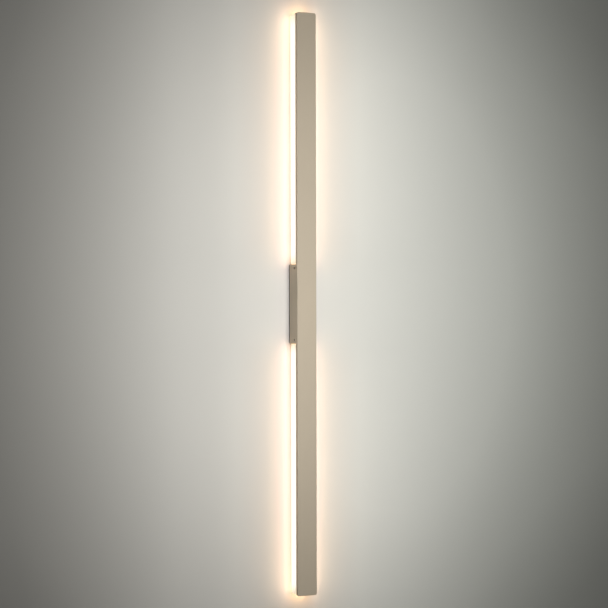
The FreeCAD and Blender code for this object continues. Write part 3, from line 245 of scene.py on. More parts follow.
class Recipe:
    """Adds nodes to a tree. An input is a number, a colour or another node's output."""

    def __init__(self, tree):
        self.tree = tree

    def link(self, value, socket):
        self.tree.links.new(value, socket)

    def add(self, kind, inputs=None, **settings):
        made = self.tree.nodes.new(f"ShaderNode{kind}")
        for name, value in settings.items():
            setattr(made, name, value)
        for name, value in (inputs or {}).items():
            if isinstance(value, bpy.types.NodeSocket):
                self.link(value, made.inputs[name])
            else:
                made.inputs[name].default_value = value
        return made

    def math(self, operation, *values, clamp=False):
        inputs = dict(enumerate(values))
        return self.add("Math", inputs, operation=operation, use_clamp=clamp).outputs[0]

    def product(self, first, *others):
        for value in others:
            first = self.math("MULTIPLY", first, value)
        return first

    def absolute(self, value):
        return self.math("ABSOLUTE", value)

    def inverse(self, mask):
        return self.math("SUBTRACT", 1.0, mask)

    def toward(self, mask, level):
        """1 where the mask is 0, and the level where it is 1."""
        return self.math("MULTIPLY_ADD", mask, level - 1.0, 1.0)

    def length(self, vector):
        return self.add("VectorMath", {0: vector}, operation="LENGTH").outputs["Value"]

    def scaled(self, tint, amount):
        return self.add("VectorMath", {0: tint, "Scale": amount}, operation="SCALE").outputs[0]

    def ramp(self, value, low, high, to_low=0.0, to_high=1.0, smooth=False):
        inputs = {"Value": value, "From Min": low, "From Max": high,
                  "To Min": to_low, "To Max": to_high}
        style = "SMOOTHSTEP" if smooth else "LINEAR"
        return self.add("MapRange", inputs, interpolation_type=style).outputs["Result"]

    def blend(self, factor, first, second, style="MIX"):
        """Two colours mixed. A Mix node's inputs 6 and 7 and its output 2 are its colours."""
        made = self.add("Mix", {0: factor, 6: first, 7: second}, data_type="RGBA", blend_type=style)
        return made.outputs[2]

    def noise(self, vector, scale, detail, rough):
        inputs = {"Vector": vector, "Scale": scale, "Detail": detail, "Roughness": rough}
        return self.add("TexNoise", inputs).outputs["Fac"]

    def position(self):
        """Object coordinates in metres."""
        return self.add("TexCoord").outputs["Object"]

    def axes(self):
        """Object coordinates one by one."""
        return self.add("SeparateXYZ", {0: self.position()}).outputs

    def normal(self):
        return self.add("NewGeometry").outputs["Normal"]

    def facing(self, axis):
        """How far the surface faces along +X, +Y or +Z."""
        return self.add("SeparateXYZ", {0: self.normal()}).outputs[axis]

    def within(self, value, middle, reach, soft=0.00005):
        """Mask, 1 where a value is nearer than reach to the middle."""
        distance = self.absolute(self.math("SUBTRACT", value, middle))
        return self.ramp(distance, reach - soft, reach + soft, 1.0, 0.0)

    def ripple(self, value, pitch):
        """Wave of a value, from -1 to 1 once a pitch."""
        return self.math("SINE", self.math("MULTIPLY", value, 2 * math.pi / pitch))

    def past_first(self, first):
        """Height above the bar's middle, or depth below it, from a row's first place on."""
        return self.math("SUBTRACT", self.absolute(self.axes()["Z"]), first * MM)

    def off_row(self, first, pitch):
        """Distance along the bar to the nearest place of a row."""
        return self.math("PINGPONG", self.past_first(first), pitch * MM / 2)


def new_group(name, inputs, outputs):
    """Shader node group with sockets of the named kinds. Returns its recipe and its ends."""
    tree = bpy.data.node_groups.new(name, "ShaderNodeTree")
    for way, sockets in (("INPUT", inputs), ("OUTPUT", outputs)):
        for label, kind in sockets.items():
            tree.interface.new_socket(label, in_out=way, socket_type=f"NodeSocket{kind}")
    entry = tree.nodes.new("NodeGroupInput")
    leave = tree.nodes.new("NodeGroupOutput")
    return Recipe(tree), entry.outputs, leave.inputs


def tone_drift_group():
    """Slow and fine changes of tone, as a multiple of the colour."""
    recipe, given, made = new_group(
        "tone drift", {"Color": "Color", "Amount": "Float", "Scale": "Float"}, {"Color": "Color"})
    where = recipe.position()
    slow = recipe.noise(where, given["Scale"], detail=3.0, rough=0.6)
    fine = recipe.noise(where, recipe.product(given["Scale"], 14.0), detail=2.0, rough=0.5)
    both = recipe.math("ADD", recipe.product(slow, 1.4), recipe.product(fine, 0.6))
    swing = recipe.product(recipe.math("SUBTRACT", both, 1.0), given["Amount"])
    recipe.link(recipe.scaled(given["Color"], recipe.math("ADD", swing, 1.0)), made["Color"])
    return recipe.tree


def edge_wear_and_highlight_group():
    """Mask of the edges, for wear and a painted highlight: how far a normal averaged over a radius
    leaves the true normal, broken up by noise."""
    recipe, given, made = new_group(
        "edge wear and highlight", {"Radius": "Float", "Amount": "Float"}, {"Mask": "Float"})
    averaged = recipe.add("Bevel", {"Radius": given["Radius"]}, samples=6).outputs[0]
    both = {0: averaged, 1: recipe.normal()}
    likeness = recipe.add("VectorMath", both, operation="DOT_PRODUCT").outputs["Value"]
    edge = recipe.ramp(recipe.inverse(likeness), 0.02, 0.22, smooth=True)
    scratches = recipe.noise(recipe.position(), 260.0, detail=4.0, rough=0.65)
    patches = recipe.ramp(scratches, 0.38, 0.62)
    kept = recipe.product(edge, recipe.math("MULTIPLY_ADD", patches, 0.7, 0.3))
    recipe.link(recipe.math("MULTIPLY", kept, given["Amount"], clamp=True), made["Mask"])
    return recipe.tree


def grain_group():
    """Fine texture: noise of one scale laid over a coarser one, stretched along the axes."""
    recipe, given, made = new_group(
        "grain", {"Scale": "Float", "Stretch": "Vector"}, {"Height": "Float", "Spread": "Float"})
    both = {0: recipe.position(), 1: given["Stretch"]}
    where = recipe.add("VectorMath", both, operation="MULTIPLY").outputs[0]
    fine = recipe.noise(where, given["Scale"], detail=2.0, rough=0.55)
    coarse = recipe.noise(where, recipe.product(given["Scale"], 0.31), detail=2.0, rough=0.5)
    height = recipe.math("ADD", recipe.product(fine, 0.6), recipe.product(coarse, 0.4))
    recipe.link(height, made["Height"])
    recipe.link(recipe.math("SUBTRACT", coarse, 0.5), made["Spread"])
    return recipe.tree


def dust_group():
    """Thin dust on what faces up, thicker where the noise is high."""
    recipe, given, made = new_group("dust", {"Amount": "Float"}, {"Mask": "Float"})
    up = recipe.ramp(recipe.facing("Z"), 0.35, 0.95, smooth=True)
    lie = recipe.noise(recipe.position(), 420.0, detail=5.0, rough=0.7)
    patches = recipe.ramp(lie, 0.3, 0.75)
    recipe.link(recipe.product(up, patches, given["Amount"]), made["Mask"])
    return recipe.tree


GROUPS = {
    "tone drift": tone_drift_group(),
    "edge wear and highlight": edge_wear_and_highlight_group(),
    "grain": grain_group(),
    "dust": dust_group(),
}


def effect(recipe, name, **inputs):
    """A shared effect placed in a material with its own values."""
    return recipe.add("Group", inputs, node_tree=GROUPS[name]).outputs


# ------------------------------------- finishes

MATERIALS = {}

# Dust, and what wear and dust add to the roughness.
DUST = colour(0.56, 0.54, 0.50)
WORN_ROUGHNESS = -0.12
DUST_ROUGHNESS = 0.3

# Champagne paint. Tinned metal on the boards.
CHAMPAGNE = colour(0.545, 0.462, 0.345)
TINNED = colour(0.72, 0.72, 0.70)

# Grid of the driver's board: a tenth of an inch, in metres.
BOARD_STEP = 0.00254

# Milky plastic: how strongly it shines on the wall, with its shares at the bar's ends, beside
# the mount and straight back, and its colour over the rows and past their ends.
GLOW = 3.65
END_CAST = 1.55
MOUNT_CAST = 0.6
WALL_CAST = 0.42
CAST_TINT = colour(1.0, 0.76, 0.52)
CAST_TINT_PAST = colour(1.0, 0.74, 0.47)

# The same plastic as the camera sees it: how bright its sides are, and its back at the edges
# and how much more in the middle, what each single light adds to these, and the share of it
# all past the rows' ends, with the colours over the rows and past their ends.
SEEN_SIDE = 0.80
SEEN_SIDE_LIGHT = 0.008
SEEN_BACK_EDGE = 0.10
SEEN_BACK_MIDDLE = 0.17
SEEN_BACK_LIGHT = 0.030
SEEN_PAST = 0.75
SEEN_TINT = colour(1.0, 0.97, 0.88)
SEEN_TINT_PAST = colour(1.0, 0.83, 0.57)


def new_material(slot, **constants):
    """Material with one Principled shader, whose fixed numbers are set on its sockets."""
    material = bpy.data.materials.new(slot)
    material.use_nodes = True
    MATERIALS[slot] = material
    shader = material.node_tree.nodes["Principled BSDF"]
    for label, value in constants.items():
        shader.inputs[label.replace("_", " ")].default_value = value
    return Recipe(material.node_tree), shader


def finish(slot, tint, roughness, grain=900.0, relief=0.05, depth=0.0004, spread=0.15,
           stretch=(1.0, 1.0, 1.0), drift=0.05, drift_scale=9.0, edge=0.0, edge_wear_and_highlight_tint=None,
           edge_radius=0.0006, dust=0.0, soft_edge=0.00025, **constants):
    """Colour with drift, edges lightened by wear and by a painted highlight, and dust, roughness
    that follows the grain, and its bump, over edges that shade as if rounded. tint is a colour, or
    a function that draws a pattern with the recipe and returns its colour, its height and its metal
    mask. The last two may be None."""
    recipe, shader = new_material(slot, **constants)
    raised = metal = None
    if callable(tint):
        tint, raised, metal = tint(recipe)
    shown = effect(recipe, "tone drift", Color=tint, Amount=drift, Scale=drift_scale)["Color"]
    texture = effect(recipe, "grain", Scale=grain, Stretch=stretch)
    rough = recipe.math("MULTIPLY_ADD", texture["Spread"], spread, roughness)
    # Edges get a lighter tint: wear, and partly a painted highlight.
    if edge:
        worn_and_highlit = effect(recipe, "edge wear and highlight", Radius=edge_radius, Amount=edge)["Mask"]
        shown = recipe.blend(worn_and_highlit, shown, edge_wear_and_highlight_tint)
        rough = recipe.math("MULTIPLY_ADD", worn_and_highlit, WORN_ROUGHNESS, rough)
    if dust:
        dusty = effect(recipe, "dust", Amount=dust)["Mask"]
        shown = recipe.blend(dusty, shown, DUST)
        rough = recipe.math("MULTIPLY_ADD", dusty, DUST_ROUGHNESS, rough)
    height = texture["Height"]
    if raised is not None:
        height = recipe.math("ADD", height, raised)
    if metal is not None:
        recipe.link(metal, shader.inputs["Metallic"])
    rounded = recipe.add("Bevel", {"Radius": soft_edge}, samples=4).outputs[0]
    bump = recipe.add("Bump", {"Strength": relief, "Distance": depth, "Height": height,
                               "Normal": rounded})
    recipe.link(shown, shader.inputs["Base Color"])
    recipe.link(rough, shader.inputs["Roughness"])
    recipe.link(bump.outputs["Normal"], shader.inputs["Normal"])
    return recipe, shader


def flecked_paint(recipe):
    """Champagne paint with fine bright metal flecks."""
    cells = recipe.add("TexVoronoi", {"Vector": recipe.position(), "Scale": 5200.0})
    pick = recipe.add("SeparateXYZ", {0: cells.outputs["Color"]}).outputs["X"]
    fleck = recipe.ramp(pick, 0.86, 0.98, 0.0, 0.16)
    flecked = recipe.blend(fleck, CHAMPAGNE, colour(0.80, 0.72, 0.56))
    return flecked, recipe.product(fleck, 0.6), None


def closed_cell_foam(recipe):
    """Black foam: shallow round cells about a millimetre wide, painted darker in their hollows as a
    painted shade.
    """
    cells = recipe.add("TexVoronoi", {"Vector": recipe.position(), "Scale": 1100.0})
    raised = recipe.ramp(cells.outputs["Distance"], 0.1, 0.7, smooth=True)
    # Painted shade: darker in the cells' hollows, lighter on their raised rims.
    foam = recipe.blend(raised, colour(0.030, 0.030, 0.031), colour(0.062, 0.062, 0.064))
    return foam, raised, None


def white_board(recipe):
    """White solder mask over two copper rails and the cross strips to each light."""
    rail = 0.0062
    side = recipe.absolute(recipe.axes()["X"])
    rails = recipe.within(side, middle=rail, reach=0.0007)
    across = recipe.within(side, middle=0.0, reach=rail)
    strips = recipe.within(recipe.off_row(ROW_START, LIGHT_PITCH), middle=0.0031, reach=0.0005)
    copper = recipe.math("MAXIMUM", rails, recipe.product(strips, across))
    return recipe.blend(copper, colour(0.80, 0.80, 0.77), colour(0.72, 0.725, 0.70)), copper, None


def towards_wall(recipe):
    """Mask of the faces that look towards the wall, as the lights do."""
    return recipe.ramp(recipe.facing("Y"), 0.5, 0.6)


def phosphor_window(recipe):
    """Mask of the window on the face of each light package."""
    along = recipe.within(recipe.off_row(ROW_START, LIGHT_PITCH), middle=0.0, reach=0.0012)
    across = recipe.within(recipe.axes()["X"], middle=0.0, reach=0.00085)
    return recipe.product(along, across, towards_wall(recipe))


def light_package(recipe):
    """White package, its yellow phosphor window on the face, tinned at its two ends."""
    window = phosphor_window(recipe)
    end = recipe.within(recipe.off_row(ROW_START, LIGHT_PITCH), middle=0.0018, reach=0.00035)
    ends = recipe.product(end, recipe.inverse(towards_wall(recipe)))
    body = recipe.blend(ends, colour(0.86, 0.86, 0.83), TINNED)
    return recipe.blend(window, body, colour(0.90, 0.66, 0.16)), window, ends


def chip_resistor(recipe):
    """Black glass over white ceramic, tinned at both ends."""
    along = recipe.off_row(FIRST_RESISTOR, RESISTOR_PITCH)
    ends = recipe.inverse(recipe.within(along, middle=0.0, reach=0.0011))
    side = recipe.ramp(recipe.facing("Y"), 0.4, 0.6, 1.0, 0.0)
    body = recipe.blend(side, colour(0.025, 0.025, 0.027), colour(0.66, 0.64, 0.60))
    return recipe.blend(ends, body, colour(0.70, 0.70, 0.68)), ends, ends


def green_board(recipe):
    """Green solder mask over glass cloth. Each square of a tenth of an inch carries a level
    or an upright track, picked by noise, and some carry a tinned pad with its hole."""
    axis = recipe.axes()
    across = recipe.product(axis["X"], 1 / BOARD_STEP)
    rise = recipe.product(axis["Z"], 1 / BOARD_STEP)
    floors = {"X": recipe.math("FLOOR", across), "Y": recipe.math("FLOOR", rise)}
    cell = recipe.add("CombineXYZ", floors).outputs[0]
    pick = recipe.add("TexWhiteNoise", {"Vector": cell}, noise_dimensions="2D").outputs["Value"]
    in_across = recipe.math("SUBTRACT", recipe.math("FRACT", across), 0.5)
    in_rise = recipe.math("SUBTRACT", recipe.math("FRACT", rise), 0.5)
    level, upright = (recipe.within(value, middle=0.0, reach=0.09, soft=0.02)
                      for value in (in_rise, in_across))
    tracks = recipe.ramp(recipe.math("GREATER_THAN", pick, 0.5), 0.0, 1.0, level, upright)
    from_middle = recipe.length(recipe.add("CombineXYZ", {"X": in_across, "Y": in_rise}).outputs[0])
    padded = recipe.math("GREATER_THAN", recipe.math("FRACT", recipe.product(pick, 7.0)), 0.66)
    pad, hole = (recipe.within(from_middle, middle=middle, reach=0.10, soft=0.02)
                 for middle in (0.20, 0.0))
    pad, hole = recipe.product(pad, padded), recipe.product(hole, padded)
    cloth = recipe.product(*(recipe.ripple(axis[name], 0.0007) for name in "XZ"))
    weave = recipe.ramp(cloth, -1.0, 1.0)
    mask = recipe.blend(weave, colour(0.024, 0.155, 0.060), colour(0.036, 0.205, 0.080))
    tracked = recipe.blend(tracks, mask, colour(0.060, 0.30, 0.115))
    tinned = recipe.blend(pad, tracked, colour(0.70, 0.69, 0.64))
    # Each pad's hole is painted near black, a painted shade for the hole's depth.
    drilled = recipe.blend(hole, tinned, colour(0.02, 0.02, 0.018))
    return drilled, recipe.math("MAXIMUM", tracks, pad), pad


def taped_winding(recipe):
    """Amber tape laid in turns, each with a slightly darker lap."""
    lap = recipe.ramp(recipe.ripple(recipe.axes()["Z"], 0.0016), 0.80, 1.0)
    tape = recipe.blend(lap, colour(0.80, 0.58, 0.09), colour(0.46, 0.28, 0.035))
    return tape, recipe.product(lap, 0.8), None


def sleeved_can(recipe):
    """Dark blue sleeve with a pale stripe for the negative side, on each can's right, and the
    bare metal top."""
    across = recipe.axes()["X"]
    large = recipe.within(across, middle=-0.0030, reach=0.00125)
    small = recipe.within(across, middle=0.0102, reach=0.00075)
    stripe = recipe.math("MAXIMUM", large, small)
    top = recipe.ramp(recipe.facing("Y"), 0.85, 0.92)
    sleeve = recipe.blend(stripe, colour(0.035, 0.045, 0.11), colour(0.52, 0.55, 0.60))
    return recipe.blend(top, sleeve, colour(0.78, 0.79, 0.80)), None, top


def capped_fuse(recipe):
    """White ceramic body between two nickel caps."""
    caps = recipe.inverse(recipe.within(recipe.axes()["Z"], middle=-0.013, reach=0.00185))
    return recipe.blend(caps, colour(0.84, 0.82, 0.76), colour(0.76, 0.75, 0.71)), None, caps


def striped_sleeve(recipe):
    """Earth lead's sleeve: green with a yellow stripe along each side of its run."""
    stripe = recipe.inverse(recipe.within(recipe.axes()["X"], middle=0.008, reach=0.00062))
    return recipe.blend(stripe, colour(0.035, 0.28, 0.06), colour(0.86, 0.70, 0.035)), None, None


def woven_tape(recipe):
    """Pale tape with the weave of its glass cloth."""
    axis = recipe.axes()
    cloth = recipe.product(*(recipe.ripple(axis[name], 0.0009) for name in "XZ"))
    weave = recipe.ramp(cloth, -1.0, 1.0)
    return recipe.blend(weave, colour(0.64, 0.67, 0.71), colour(0.76, 0.78, 0.80)), weave, None


def milky_plastic():
    """Frosted channel and caps, lit from inside. The light they cast leaves mostly by their
    sides, rises at the bar's ends and falls beside the mount. What is seen is warmer at the
    ends of the rows, and a little brighter over each single light."""
    recipe, shader = finish("milky_plastic", colour(0.80, 0.775, 0.72), 0.42, grain=1400.0,
                            relief=0.14, drift=0.02, stretch=(2.5, 2.5, 0.2),
                            Emission_Strength=GLOW)
    axis = recipe.axes()
    rise = recipe.absolute(axis["Z"])
    beyond = recipe.math("SUBTRACT", rise, ROW_STOP * MM)
    before = recipe.math("SUBTRACT", ROW_START * MM, rise)
    at_end = recipe.ramp(beyond, -0.006, 0.013, smooth=True)
    at_mount = recipe.ramp(before, -0.004, 0.014, smooth=True)
    past = recipe.math("MAXIMUM", at_end, at_mount)
    to_wall = recipe.math("MAXIMUM", recipe.facing("Y"), 0.0)
    straight_back = recipe.ramp(to_wall, 0.5, 1.0)
    cast_amount = recipe.product(recipe.toward(at_end, END_CAST),
                                 recipe.toward(at_mount, MOUNT_CAST),
                                 recipe.toward(straight_back, WALL_CAST))
    cast = recipe.scaled(recipe.blend(past, CAST_TINT, CAST_TINT_PAST), cast_amount)
    in_row = recipe.product(recipe.past_first(ROW_START), 2 * math.pi / (LIGHT_PITCH * MM))
    over_light = recipe.math("COSINE", in_row)
    off_middle = recipe.product(axis["X"], 1 / (CHANNEL_HALF * MM))
    middle = recipe.inverse(recipe.product(off_middle, off_middle))
    back = recipe.math("MULTIPLY_ADD", over_light, SEEN_BACK_LIGHT, SEEN_BACK_MIDDLE)
    back = recipe.math("MULTIPLY_ADD", back, middle, SEEN_BACK_EDGE)
    side = recipe.math("MULTIPLY_ADD", over_light, SEEN_SIDE_LIGHT, SEEN_SIDE)
    seen_amount = recipe.product(recipe.ramp(to_wall, 0.6, 1.0, side, back),
                                 recipe.toward(past, SEEN_PAST), 1 / GLOW)
    seen = recipe.scaled(recipe.blend(past, SEEN_TINT, SEEN_TINT_PAST), seen_amount)
    camera_ray = recipe.add("LightPath").outputs["Is Camera Ray"]
    recipe.link(recipe.blend(camera_ray, cast, seen), shader.inputs["Emission Color"])


def lit_package():
    """The lights are on: their windows shine a little, inside the closed channel."""
    recipe, shader = finish("led_package", light_package, 0.3, grain=3000.0, relief=0.08,
                            depth=0.0001, soft_edge=0.0001, Emission_Strength=2.0)
    shine = recipe.blend(phosphor_window(recipe), colour(0.0, 0.0, 0.0), colour(1.0, 0.80, 0.52))
    recipe.link(shine, shader.inputs["Emission Color"])


def make_materials():
    """One finish for each slot. The number after the colour is the roughness."""
    # The lighter colour for the edges is wear and partly a painted highlight.
    finish("champagne_paint", flecked_paint, 0.46, grain=1500.0, relief=0.40, spread=0.35,
           drift=0.045, drift_scale=7.0, edge=0.30, edge_wear_and_highlight_tint=colour(0.66, 0.58, 0.46),
           edge_radius=0.0005, dust=0.10, depth=0.00012)
    # The bracket's dark brown is partly its own paint and partly painted shade for the narrow gap
    # between the mount and the wall.
    finish("bracket_steel", colour(0.105, 0.090, 0.070), 0.42, grain=700.0, relief=0.2, drift=0.12,
           edge=0.5, edge_wear_and_highlight_tint=colour(0.35, 0.34, 0.33), edge_radius=0.0005)
    finish("pad_foam", closed_cell_foam, 0.9, grain=2200.0, relief=0.6, drift=0.2)
    milky_plastic()
    finish("board_white", white_board, 0.35, grain=1200.0, relief=0.12, drift=0.03, depth=0.0001)
    finish("heat_tape", woven_tape, 0.6, grain=800.0, relief=0.3, drift=0.06, depth=0.0001)
    lit_package()
    finish("resistor_black", chip_resistor, 0.4, grain=3000.0, relief=0.2, drift=0.1, depth=0.0001,
           soft_edge=0.0001)
    finish("solder_tin", TINNED, 0.32, grain=1500.0, relief=0.2, drift=0.08, Metallic=1.0)
    finish("block_aluminium", colour(0.75, 0.76, 0.77), 0.34, grain=500.0, relief=0.25,
           stretch=(8.0, 8.0, 0.6), Metallic=1.0, edge=0.4, edge_wear_and_highlight_tint=colour(0.92, 0.92, 0.93))
    finish("screw_zinc", colour(0.70, 0.71, 0.72), 0.3, relief=0.15, drift=0.1, Metallic=1.0,
           edge=0.4, edge_wear_and_highlight_tint=colour(0.9, 0.9, 0.9), edge_radius=0.0003)
    finish("screw_black", colour(0.17, 0.15, 0.125), 0.42, relief=0.15, drift=0.15, Metallic=0.5,
           edge=0.3, edge_wear_and_highlight_tint=colour(0.36, 0.33, 0.28), edge_radius=0.0003)
    finish("grommet_rubber", colour(0.03, 0.03, 0.03), 0.7, grain=1200.0, relief=0.3, drift=0.2,
           dust=0.2)
    finish("bushing_plastic", colour(0.05, 0.05, 0.05), 0.5, grain=1200.0, relief=0.2, drift=0.1)
    finish("driver_plastic", colour(0.78, 0.78, 0.76), 0.5, relief=0.3, drift=0.04,
           edge=0.2, edge_wear_and_highlight_tint=colour(0.9, 0.9, 0.88))
    finish("circuit_green", green_board, 0.32, grain=700.0, relief=0.2, drift=0.08, depth=0.0001)
    finish("ferrite", colour(0.10, 0.10, 0.11), 0.55, grain=1500.0, relief=0.3, drift=0.15,
           edge=0.4, edge_wear_and_highlight_tint=colour(0.3, 0.3, 0.3))
    finish("winding_tape", taped_winding, 0.25, grain=400.0, relief=0.3, drift=0.08, depth=0.0002)
    finish("capacitor_sleeve", sleeved_can, 0.28, grain=600.0, relief=0.08, drift=0.1)
    finish("fuse_body", capped_fuse, 0.3, relief=0.08, drift=0.04)
    finish("rectifier_black", colour(0.035, 0.035, 0.035), 0.5, grain=2500.0, relief=0.25,
           drift=0.15)
    finish("terminal_plastic", colour(0.86, 0.86, 0.83), 0.45, relief=0.15, drift=0.04)
    finish("clamp_brass", colour(0.80, 0.60, 0.28), 0.28, grain=800.0, relief=0.15, drift=0.1,
           Metallic=1.0, edge=0.4, edge_wear_and_highlight_tint=colour(0.95, 0.80, 0.48), edge_radius=0.0003)
    finish("lug_tin", colour(0.74, 0.74, 0.71), 0.34, grain=1100.0, relief=0.15, drift=0.08,
           Metallic=1.0)
    sleeves = {"brown": colour(0.22, 0.085, 0.035), "blue": colour(0.04, 0.13, 0.52),
               "green_yellow": striped_sleeve, "red": colour(0.55, 0.03, 0.03)}
    for name, tint in sleeves.items():
        finish(f"lead_{name}", tint, 0.38, relief=0.08, drift=0.08)
    finish("lead_black", colour(0.03, 0.03, 0.03), 0.38, relief=0.08, drift=0.1)


# ------------------------------------- carried-over CAD nodes


def smooth_rounds_group():
    """Geometry nodes: joins the loose triangles and smooths every edge flatter than an angle."""
    joined_within, sharp_angle = 2e-6, 30
    tree = bpy.data.node_groups.new("smooth rounds", "GeometryNodeTree")
    for way in ("INPUT", "OUTPUT"):
        tree.interface.new_socket("Geometry", in_out=way, socket_type="NodeSocketGeometry")
    entry = tree.nodes.new("NodeGroupInput")
    leave = tree.nodes.new("NodeGroupOutput")
    weld = tree.nodes.new("GeometryNodeMergeByDistance")
    weld.inputs["Distance"].default_value = joined_within
    smooth = tree.nodes.new("GeometryNodeSetShadeSmooth")
    sharp = tree.nodes.new("GeometryNodeSetShadeSmooth")
    sharp.domain = "EDGE"
    sharp.inputs["Shade Smooth"].default_value = False
    angle = tree.nodes.new("GeometryNodeInputMeshEdgeAngle")
    steep = tree.nodes.new("FunctionNodeCompare")
    steep.operation = "GREATER_THAN"
    steep.inputs[1].default_value = math.radians(sharp_angle)
    link = tree.links.new
    link(entry.outputs[0], weld.inputs["Geometry"])
    link(weld.outputs[0], smooth.inputs["Geometry"])
    link(smooth.outputs[0], sharp.inputs["Geometry"])
    link(angle.outputs["Unsigned Angle"], steep.inputs[0])
    link(steep.outputs[0], sharp.inputs["Selection"])
    link(sharp.outputs[0], leave.inputs[0])
    return tree


def dress_nodes():
    """Give each CAD node its finish and smooth its rounded faces."""
    smooth_rounds = smooth_rounds_group()
    for name, slot in FINISH_OF.items():
        node = NODES[name]
        node.data.materials.clear()
        node.data.materials.append(MATERIALS[slot])
        rounds = node.modifiers.new("smooth rounds", "NODES")
        rounds.node_group = smooth_rounds
        shade_evenly(node)


# ------------------------------------- pieces with finer shapes


def front_bar():
    """Pressed tray, carried round the bar's outline: inner floor, inner wall with its groove,
    rolled rim, outer side, and the rounding to the face."""
    wall, roll, bend, groove, face_round = 1.5, 0.3, 0.09, 0.3, 0.6
    profile = [(wall + 0.6, BAR_FLOOR), (wall + 0.1, BAR_FLOOR - 0.1), (wall, BAR_FLOOR - 0.5),
               (wall, BEAD_HIGH + 0.1), (wall - groove, BEAD_HIGH),
               (wall - groove, BEAD_LOW), (wall, BEAD_LOW - 0.1),
               (wall, BAR_BACK + roll), (wall - bend, BAR_BACK + bend), (wall - roll, BAR_BACK),
               (roll, BAR_BACK), (bend, BAR_BACK + bend), (0.0, BAR_BACK + roll)]
    profile += list(arc((face_round, BAR_FACE - face_round), face_round, 2 * QUARTER, QUARTER))
    rings = tray_rings(BAR_HALF_WIDTH, BAR_HALF_LENGTH, BAR_CORNER, profile, steps=10)
    make_piece("bar_shell", [skin(rings)], "champagne_paint", "front_bar")


def channel(name):
    """Milky channel: its cross-section, a U with rounded back corners and a snap bead on each
    side, carried straight along the bar."""
    chamfer, bead, bead_slope = 0.15, 0.3, 0.25
    outer_round, inner_round = 1.2, 0.5
    half, back, foot = CHANNEL_HALF, CHANNEL_BACK, CHANNEL_FOOT
    inner_half, inner_back = half - CHANNEL_WALL, back + CHANNEL_WALL
    inside = arc((inner_half - inner_round, inner_back + inner_round), inner_round, -QUARTER, 0)
    side = [(inner_half, foot - chamfer), (inner_half + chamfer, foot),
            (half - chamfer, foot), (half, foot - chamfer),
            (half, BEAD_HIGH), (half + bead, BEAD_HIGH - bead_slope),
            (half + bead, BEAD_LOW + bead_slope), (half, BEAD_LOW)]
    outside = arc((half - outer_round, back + outer_round), outer_round, 0, -QUARTER)
    right = np.concatenate([inside, side, outside])
    across, out = np.concatenate([right, right[::-1] * (-1, 1)]).T
    low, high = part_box(name)
    rings = [np.stack([across, -out, np.full(len(across), rise)], -1)
             for rise in np.linspace(low[2] / MM, high[2] / MM, 24)]
    make_piece(f"{name}_channel", [skin(rings)], "milky_plastic", name)


def cap_screw(place, diameter, pitch, seat, tip):
    """Screw with its head against a seat and its thread out towards the room: six-sided
    socket in a rolled head, then the thread, then the tip's chamfer."""
    radius = diameter / 2
    head = 0.875 * diameter
    back = seat - 0.6 * diameter
    socket = hexagon(0.62 * diameter)
    roll, bend, broken = 0.3, 0.09, 0.06
    profile = [(socket * SOCKET_TAPER, back + 0.38 * diameter), (socket, back + 0.1),
               (socket + SOCKET_CHAMFER, back), (head - roll, back), (head - bend, back + bend),
               (head, back + roll), (head, seat - broken), (head - broken, seat), (radius, seat)]
    profile += thread(radius, pitch, seat + 0.1, tip - 0.45)
    profile.append((radius - 0.4, tip))
    return turned(profile, "out", place)


def grub_screw(direction, place):
    """Headless screw through the mount's side: cupped tip, thread, and its socket outside."""
    radius, pitch, tip, end = 2.0, 0.7, 13.8, 18.0
    socket = hexagon(2.0)
    profile = [(0.5, tip + 0.3), (1.1, tip), (1.5, tip)]
    profile += thread(radius, pitch, tip + 0.4, end - 0.25)
    profile += [(radius - 0.25, end), (socket + SOCKET_CHAMFER, end), (socket, end - 0.1),
                (socket * SOCKET_TAPER, end - 1.7)]
    return turned(profile, direction, place)


def washer(place, inner, outer, near, far):
    """Flat ring with its edges broken."""
    broken = 0.08
    profile = [(inner + broken, near), (outer - broken, near), (outer, near + broken),
               (outer, far - broken), (outer - broken, far), (inner + broken, far),
               (inner, far - broken), (inner, near + broken)]
    return turned(profile, "out", place, bored=True)


def fasteners():
    """Screws: those that hold the bar, with their washers, the driver's and the headless ones
    in the mount's sides."""
    washer_back, washer_face = 23.2, 24.0
    corners = [(across, 0, rise) for across in (-9.5, 9.5) for rise in (-60, 60)]
    screws = [cap_screw(place, diameter=4.0, pitch=0.7, seat=washer_back, tip=30.0)
              for place in corners]
    make_piece("bar_cap_screws", screws, "screw_zinc", "bar_screws")
    washers = [washer(place, inner=2.15, outer=4.0, near=washer_back, far=washer_face)
               for place in corners]
    make_piece("bar_washers", washers, "screw_zinc", "bar_screw_washers")
    ears = [(-9.6, 0, 43.25), (0, 0, -23.25)]
    screws = [cap_screw(place, diameter=3.0, pitch=0.5, seat=22.0, tip=25.0) for place in ears]
    make_piece("driver_cap_screws", screws, "screw_zinc", "driver_screws")
    screws = [grub_screw(side, (0, -20, rise))
              for side in ("left", "right") for rise in (-61.6, 61.6)]
    make_piece("side_grub_screws", screws, "screw_black", "side_screws")


def grommet():
    """Rubber ring: two rounded lips, the groove that grips the plate, and the cable's bore."""
    lip, groove, bore = 8.0, 6.0, 4.0
    profile = [(bore + 0.4, 0.1), (lip - 0.5, 0.1), (lip - 0.15, 0.22), (lip, 0.55), (lip, 1.1),
               (lip - 0.15, 1.4), (lip - 0.5, 1.5), (groove, 1.5), (groove, 3.5), (lip - 0.5, 3.5),
               (lip - 0.12, 3.65), (lip, 4.0), (lip - 0.25, 4.4), (lip - 0.9, 4.75),
               (lip - 1.7, 4.9), (bore + 0.6, 4.9), (bore + 0.18, 4.75), (bore, 4.4),
               (bore, 0.55), (bore + 0.12, 0.22)]
    ring = turned(profile, "out", (0, 0, 16), bored=True)
    make_piece("rubber_grommet", [ring], "grommet_rubber", "cable_grommet")


